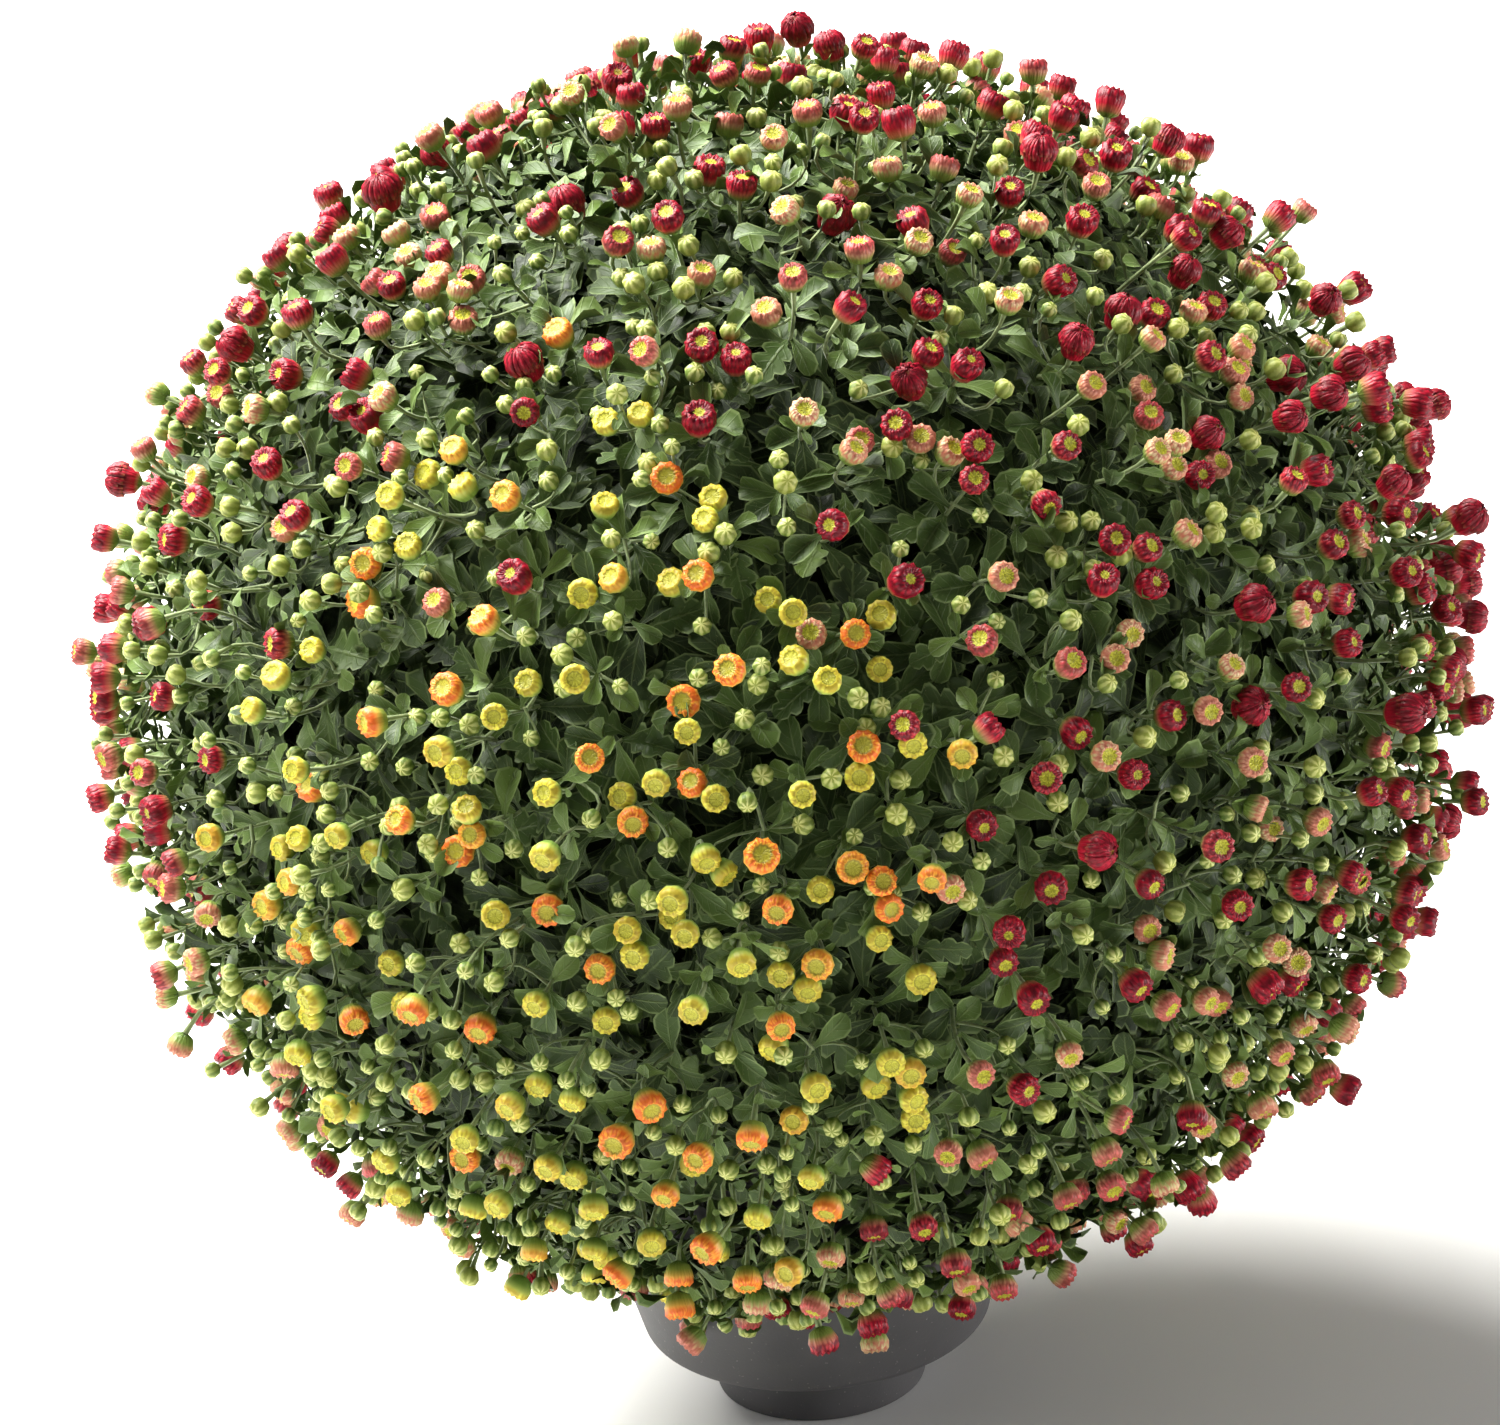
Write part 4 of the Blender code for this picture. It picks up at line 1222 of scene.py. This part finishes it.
# %% Cream, rose and crimson from the cup to the middle
rosy = Recipe("pink_and_red_ring_bud", roughness=0.42, specular=0.22)
rosy_up, rosy_crest, rosy_tone = rosy.read("up"), rosy.read("crest"), rosy.read("tone")
ripening = rosy.math("MULTIPLY", rosy.math("SUBTRACT", rosy_tone, 0.50, True), 0.35)
outward = rosy.math("ADD", rosy_up, ripening)
cream = rosy.ramp(outward, [
    (0.0, CUP_GREEN), (0.20, (0.18, 0.27, 0.05)), (0.34, (0.44, 0.44, 0.16)),
    (0.46, (0.66, 0.48, 0.27)), (0.70, (0.60, 0.42, 0.20)),
])
rose = rosy.ramp(outward, [
    (0.0, CUP_GREEN), (0.21, (0.18, 0.24, 0.05)), (0.30, (0.48, 0.30, 0.16)),
    (0.42, (0.58, 0.10, 0.100)), (0.70, (0.49, 0.045, 0.058)),
])
crimson = rosy.ramp(outward, [
    (0.0, CUP_GREEN), (0.21, (0.16, 0.20, 0.04)), (0.28, (0.42, 0.12, 0.07)),
    (0.35, (0.45, 0.008, 0.028)), (0.74, (0.31, 0.004, 0.017)),
])
flushed = rosy.mix(rosy.ramp(rosy_tone, [(0.44, 0.0), (0.52, 1.0)]), cream, rose)
reddened = rosy.mix(rosy.ramp(rosy_tone, [(0.51, 0.0), (0.61, 1.0)]), flushed, crimson)
print("red bud nodes so far", len(rosy.nodes))

# %% [markdown]
# Cells again give the pattern of the petals: the gaps between them, and the dips between the ribs, are
# darkened with painted shade, to a rusty pink on the pale buds and nearly black on the red ones, and a
# painted highlight, a small pale glint, sits on the back of each petal.

# %% Petals of the pink and red buds
on_ring = rosy.ramp(rosy_up, [(0.20, 0.0), (0.34, 1.0)])
off_petal = rosy.petals(24, 5.5, rosy.math("MULTIPLY", rosy_tone, 90.0))
in_gap = rosy.ramp(off_petal, [(0.30, 0.0), (0.58, 0.85)])
# Painted shade in the gaps between petal cells and in the dips between the ribs.
in_dip = rosy.ramp(rosy_crest, [(0.0, 0.25), (0.6, 0.0)])
shadowed = rosy.math("MULTIPLY", rosy.math("ADD", in_gap, in_dip), on_ring, True)
turned_red = rosy.ramp(rosy_tone, [(0.46, 0.0), (0.58, 1.0)])
# The gap colour is painted shade: rusty pink on the pale buds, nearly black on the red ones.
gap_shade_colour = rosy.mix(turned_red, (0.48, 0.155, 0.095), (0.11, 0.002, 0.009))
shade_striped = rosy.mix(shadowed, reddened, gap_shade_colour)
# Painted highlight: a pale glint near the middle of each petal cell on the ring.
painted_glints = rosy.math("MULTIPLY", rosy.ramp(off_petal, [(0.04, 0.6), (0.11, 0.0)]), on_ring)
painted_glinted = rosy.mix(painted_glints, shade_striped, (0.78, 0.42, 0.38))
rosy.bump(rosy.math("SUBTRACT", 1.0, off_petal), 0.0008, 0.8)
print("red bud nodes so far", len(rosy.nodes))

# %% [markdown]
# The yellow middle is large on a young bud and shrinks as the petals close over it. Its edge is frayed
# by the same cells, and a fine noise dots it with darker florets.

# %% The yellow middle
MIDDLE_DARK, MIDDLE_YELLOW = (0.32, 0.31, 0.02), (0.52, 0.49, 0.035)
petal_grain = rosy.noise(1300, 2)
frayed = rosy.math("MULTIPLY", rosy.math("SUBTRACT", off_petal, 0.4), 0.10)
disc_edge = rosy.math("ADD", rosy.math("SUBTRACT", rosy_up, rosy.math("MULTIPLY", ripening, 1.35)), frayed)
unclosed = rosy.ramp(rosy_tone, [(0.82, 1.0), (0.86, 0.1)])
disc = rosy.math("MULTIPLY", rosy.ramp(disc_edge, [(0.68, 0.0), (0.72, 1.0)]), unclosed)
disc_yellow = rosy.ramp(petal_grain, [(0.42, MIDDLE_DARK), (0.58, MIDDLE_YELLOW)])
rosy_finish = rosy.finish(rosy.mix(disc, painted_glinted, disc_yellow))
print("red bud nodes", len(rosy.nodes))

# %% [markdown]
# There are nearly a thousand of these buds, so they are split into one piece for each third of the
# head, which keeps every piece to a size that is easy to handle.

# %% Pink and red buds
RED_PETALS = 10
red_ring = wheel_template(RING_LINE, RED_PETALS, 0.13, True)
is_red_ring = is_ring & ~bud_yellow
bud_plant = plant_of(bud_direction)
for index, plant in enumerate(PLANTS):
    chosen = is_red_ring & (bud_plant == index)
    add_buds(f"{plant}_red_ring_buds", chosen, red_ring, rosy_finish)

# %% [markdown]
# ## Deep red flowers
# The furthest open are balls of curled-in crimson petals that stand out of the green cup. Each petal is
# a narrow strip on a curve over the ball, in three rings, the inner ones shorter and turned between the
# outer ones.

# %% Curled petals
PETAL_ROWS = ((22, -0.34, 0.95, 1.02), (18, -0.05, 1.20, 0.99), (13, 0.30, 1.42, 0.90))
PETAL_STATIONS = 3
PETAL_HALF_WIDTH = 0.56
BALL_FLATTENED = 0.80
MAP_BAND = 0.32


def petal_template():
    """Unit corners of curled petals laid over a ball, all rings in one, with their faces."""
    draw = np.random.default_rng(5)
    points, faces, spots, up, crests = [], [], [], [], []
    for ring_index, (count, start, end, middle_radius) in enumerate(PETAL_ROWS):
        for step in range(count):
            radius = middle_radius * draw.uniform(0.91, 1.09)
            turn_to = ALL_ROUND * (step + 0.5 * ring_index + draw.uniform(-0.2, 0.2)) / count
            wide = PETAL_HALF_WIDTH * ALL_ROUND / count
            first = len(points)
            for station in range(PETAL_STATIONS + 1):
                share = station / PETAL_STATIONS
                lift_angle = start + (end - start) * share
                out = radius * (1.0 + 0.05 * math.sin(math.pi * share))
                narrow = wide * (0.75 + 0.35 * math.sin(math.pi * share)) * max(math.cos(lift_angle), 0.22)
                for sideways_step, puff in ((-1, 0.93), (0, 1.05), (1, 0.93)):
                    turn_at = turn_to + sideways_step * narrow / max(math.cos(lift_angle), 0.3)
                    flat_out = out * puff * math.cos(lift_angle)
                    high = out * puff * math.sin(lift_angle) * BALL_FLATTENED
                    points.append((flat_out * math.cos(turn_at), flat_out * math.sin(turn_at), high))
                    up.append(share)
                    crests.append(0.5 + 0.5 * (sideways_step == 0))
            for station in range(PETAL_STATIONS):
                for column in (0, 1):
                    corner = first + station * 3 + column
                    faces.append((corner, corner + 1, corner + 4, corner + 3))
                    low = ring_index / 3 + station / PETAL_STATIONS * MAP_BAND
                    high = ring_index / 3 + (station + 1) / PETAL_STATIONS * MAP_BAND
                    left = (step + 0.5 * column) / count
                    right = (step + 0.5 * column + 0.5) / count
                    spots += [(left, low), (right, low), (right, high), (left, high)]
    return np.array(points), faces, spots, np.array(up), np.array(crests)


flower_petals = petal_template()
print("petals of a flower:", sum(row[0] for row in PETAL_ROWS), "corners:", len(flower_petals[0]))

# %% [markdown]
# The petals are crimson and brown at the root, with painted shade that darkens their edges and the gaps
# between them to a very dark red, and a painted highlight, a pale fleck, where a petal would catch the
# light. The cup under them has the pink and red buds' material, which is green at its foot.

# %% Deep red flowers
red = Recipe("crimson_petals", roughness=0.42, specular=0.22)
red_up, red_crest, red_tone = red.read("up"), red.read("crest"), red.read("tone")
deep = red.ramp(red_up, [
    (0.0, (0.38, 0.12, 0.06)), (0.2, (0.37, 0.007, 0.024)), (1.0, (0.43, 0.010, 0.032)),
])
# Painted shade: the petal edges and the gaps between the petal cells darken to a very dark red.
painted_edge_shade = red.mix(red.ramp(red_crest, [(0.45, 0.75), (0.9, 0.0)]), deep, (0.070, 0.002, 0.005))
off_tip = red.petals(30, 3.2, red.math("MULTIPLY", red_tone, 90.0))
painted_tip_shade = red.mix(red.ramp(off_tip, [(0.30, 0.0), (0.60, 0.75)]), painted_edge_shade, (0.090, 0.002, 0.006))
# Painted highlight: a pale fleck near the middle of each petal cell.
painted_tip_glints = red.mix(red.ramp(off_tip, [(0.05, 0.35), (0.14, 0.0)]), painted_tip_shade, (0.62, 0.24, 0.24))
red.bump(red.math("SUBTRACT", 1.0, off_tip), 0.0006, 0.7)
red_finish = red.finish(painted_tip_glints)
flower_cup = wheel_template(TIGHT_LINE, 8, 0.08, False)
add_buds("red_flower_cups", is_ball, flower_cup, rosy_finish)
add_buds("red_flower_petals", is_ball, flower_petals, red_finish)

# %% [markdown]
# ## Count
# Last we count the pieces and the triangles in all of them.

# %% Count
meshes = [thing for thing in bpy.data.objects if thing.type == "MESH"]
shown = [thing for thing in meshes if "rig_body" in thing and not thing.hide_render]
print("pieces", len(shown), "triangles in all", sum(triangles(thing) for thing in shown))
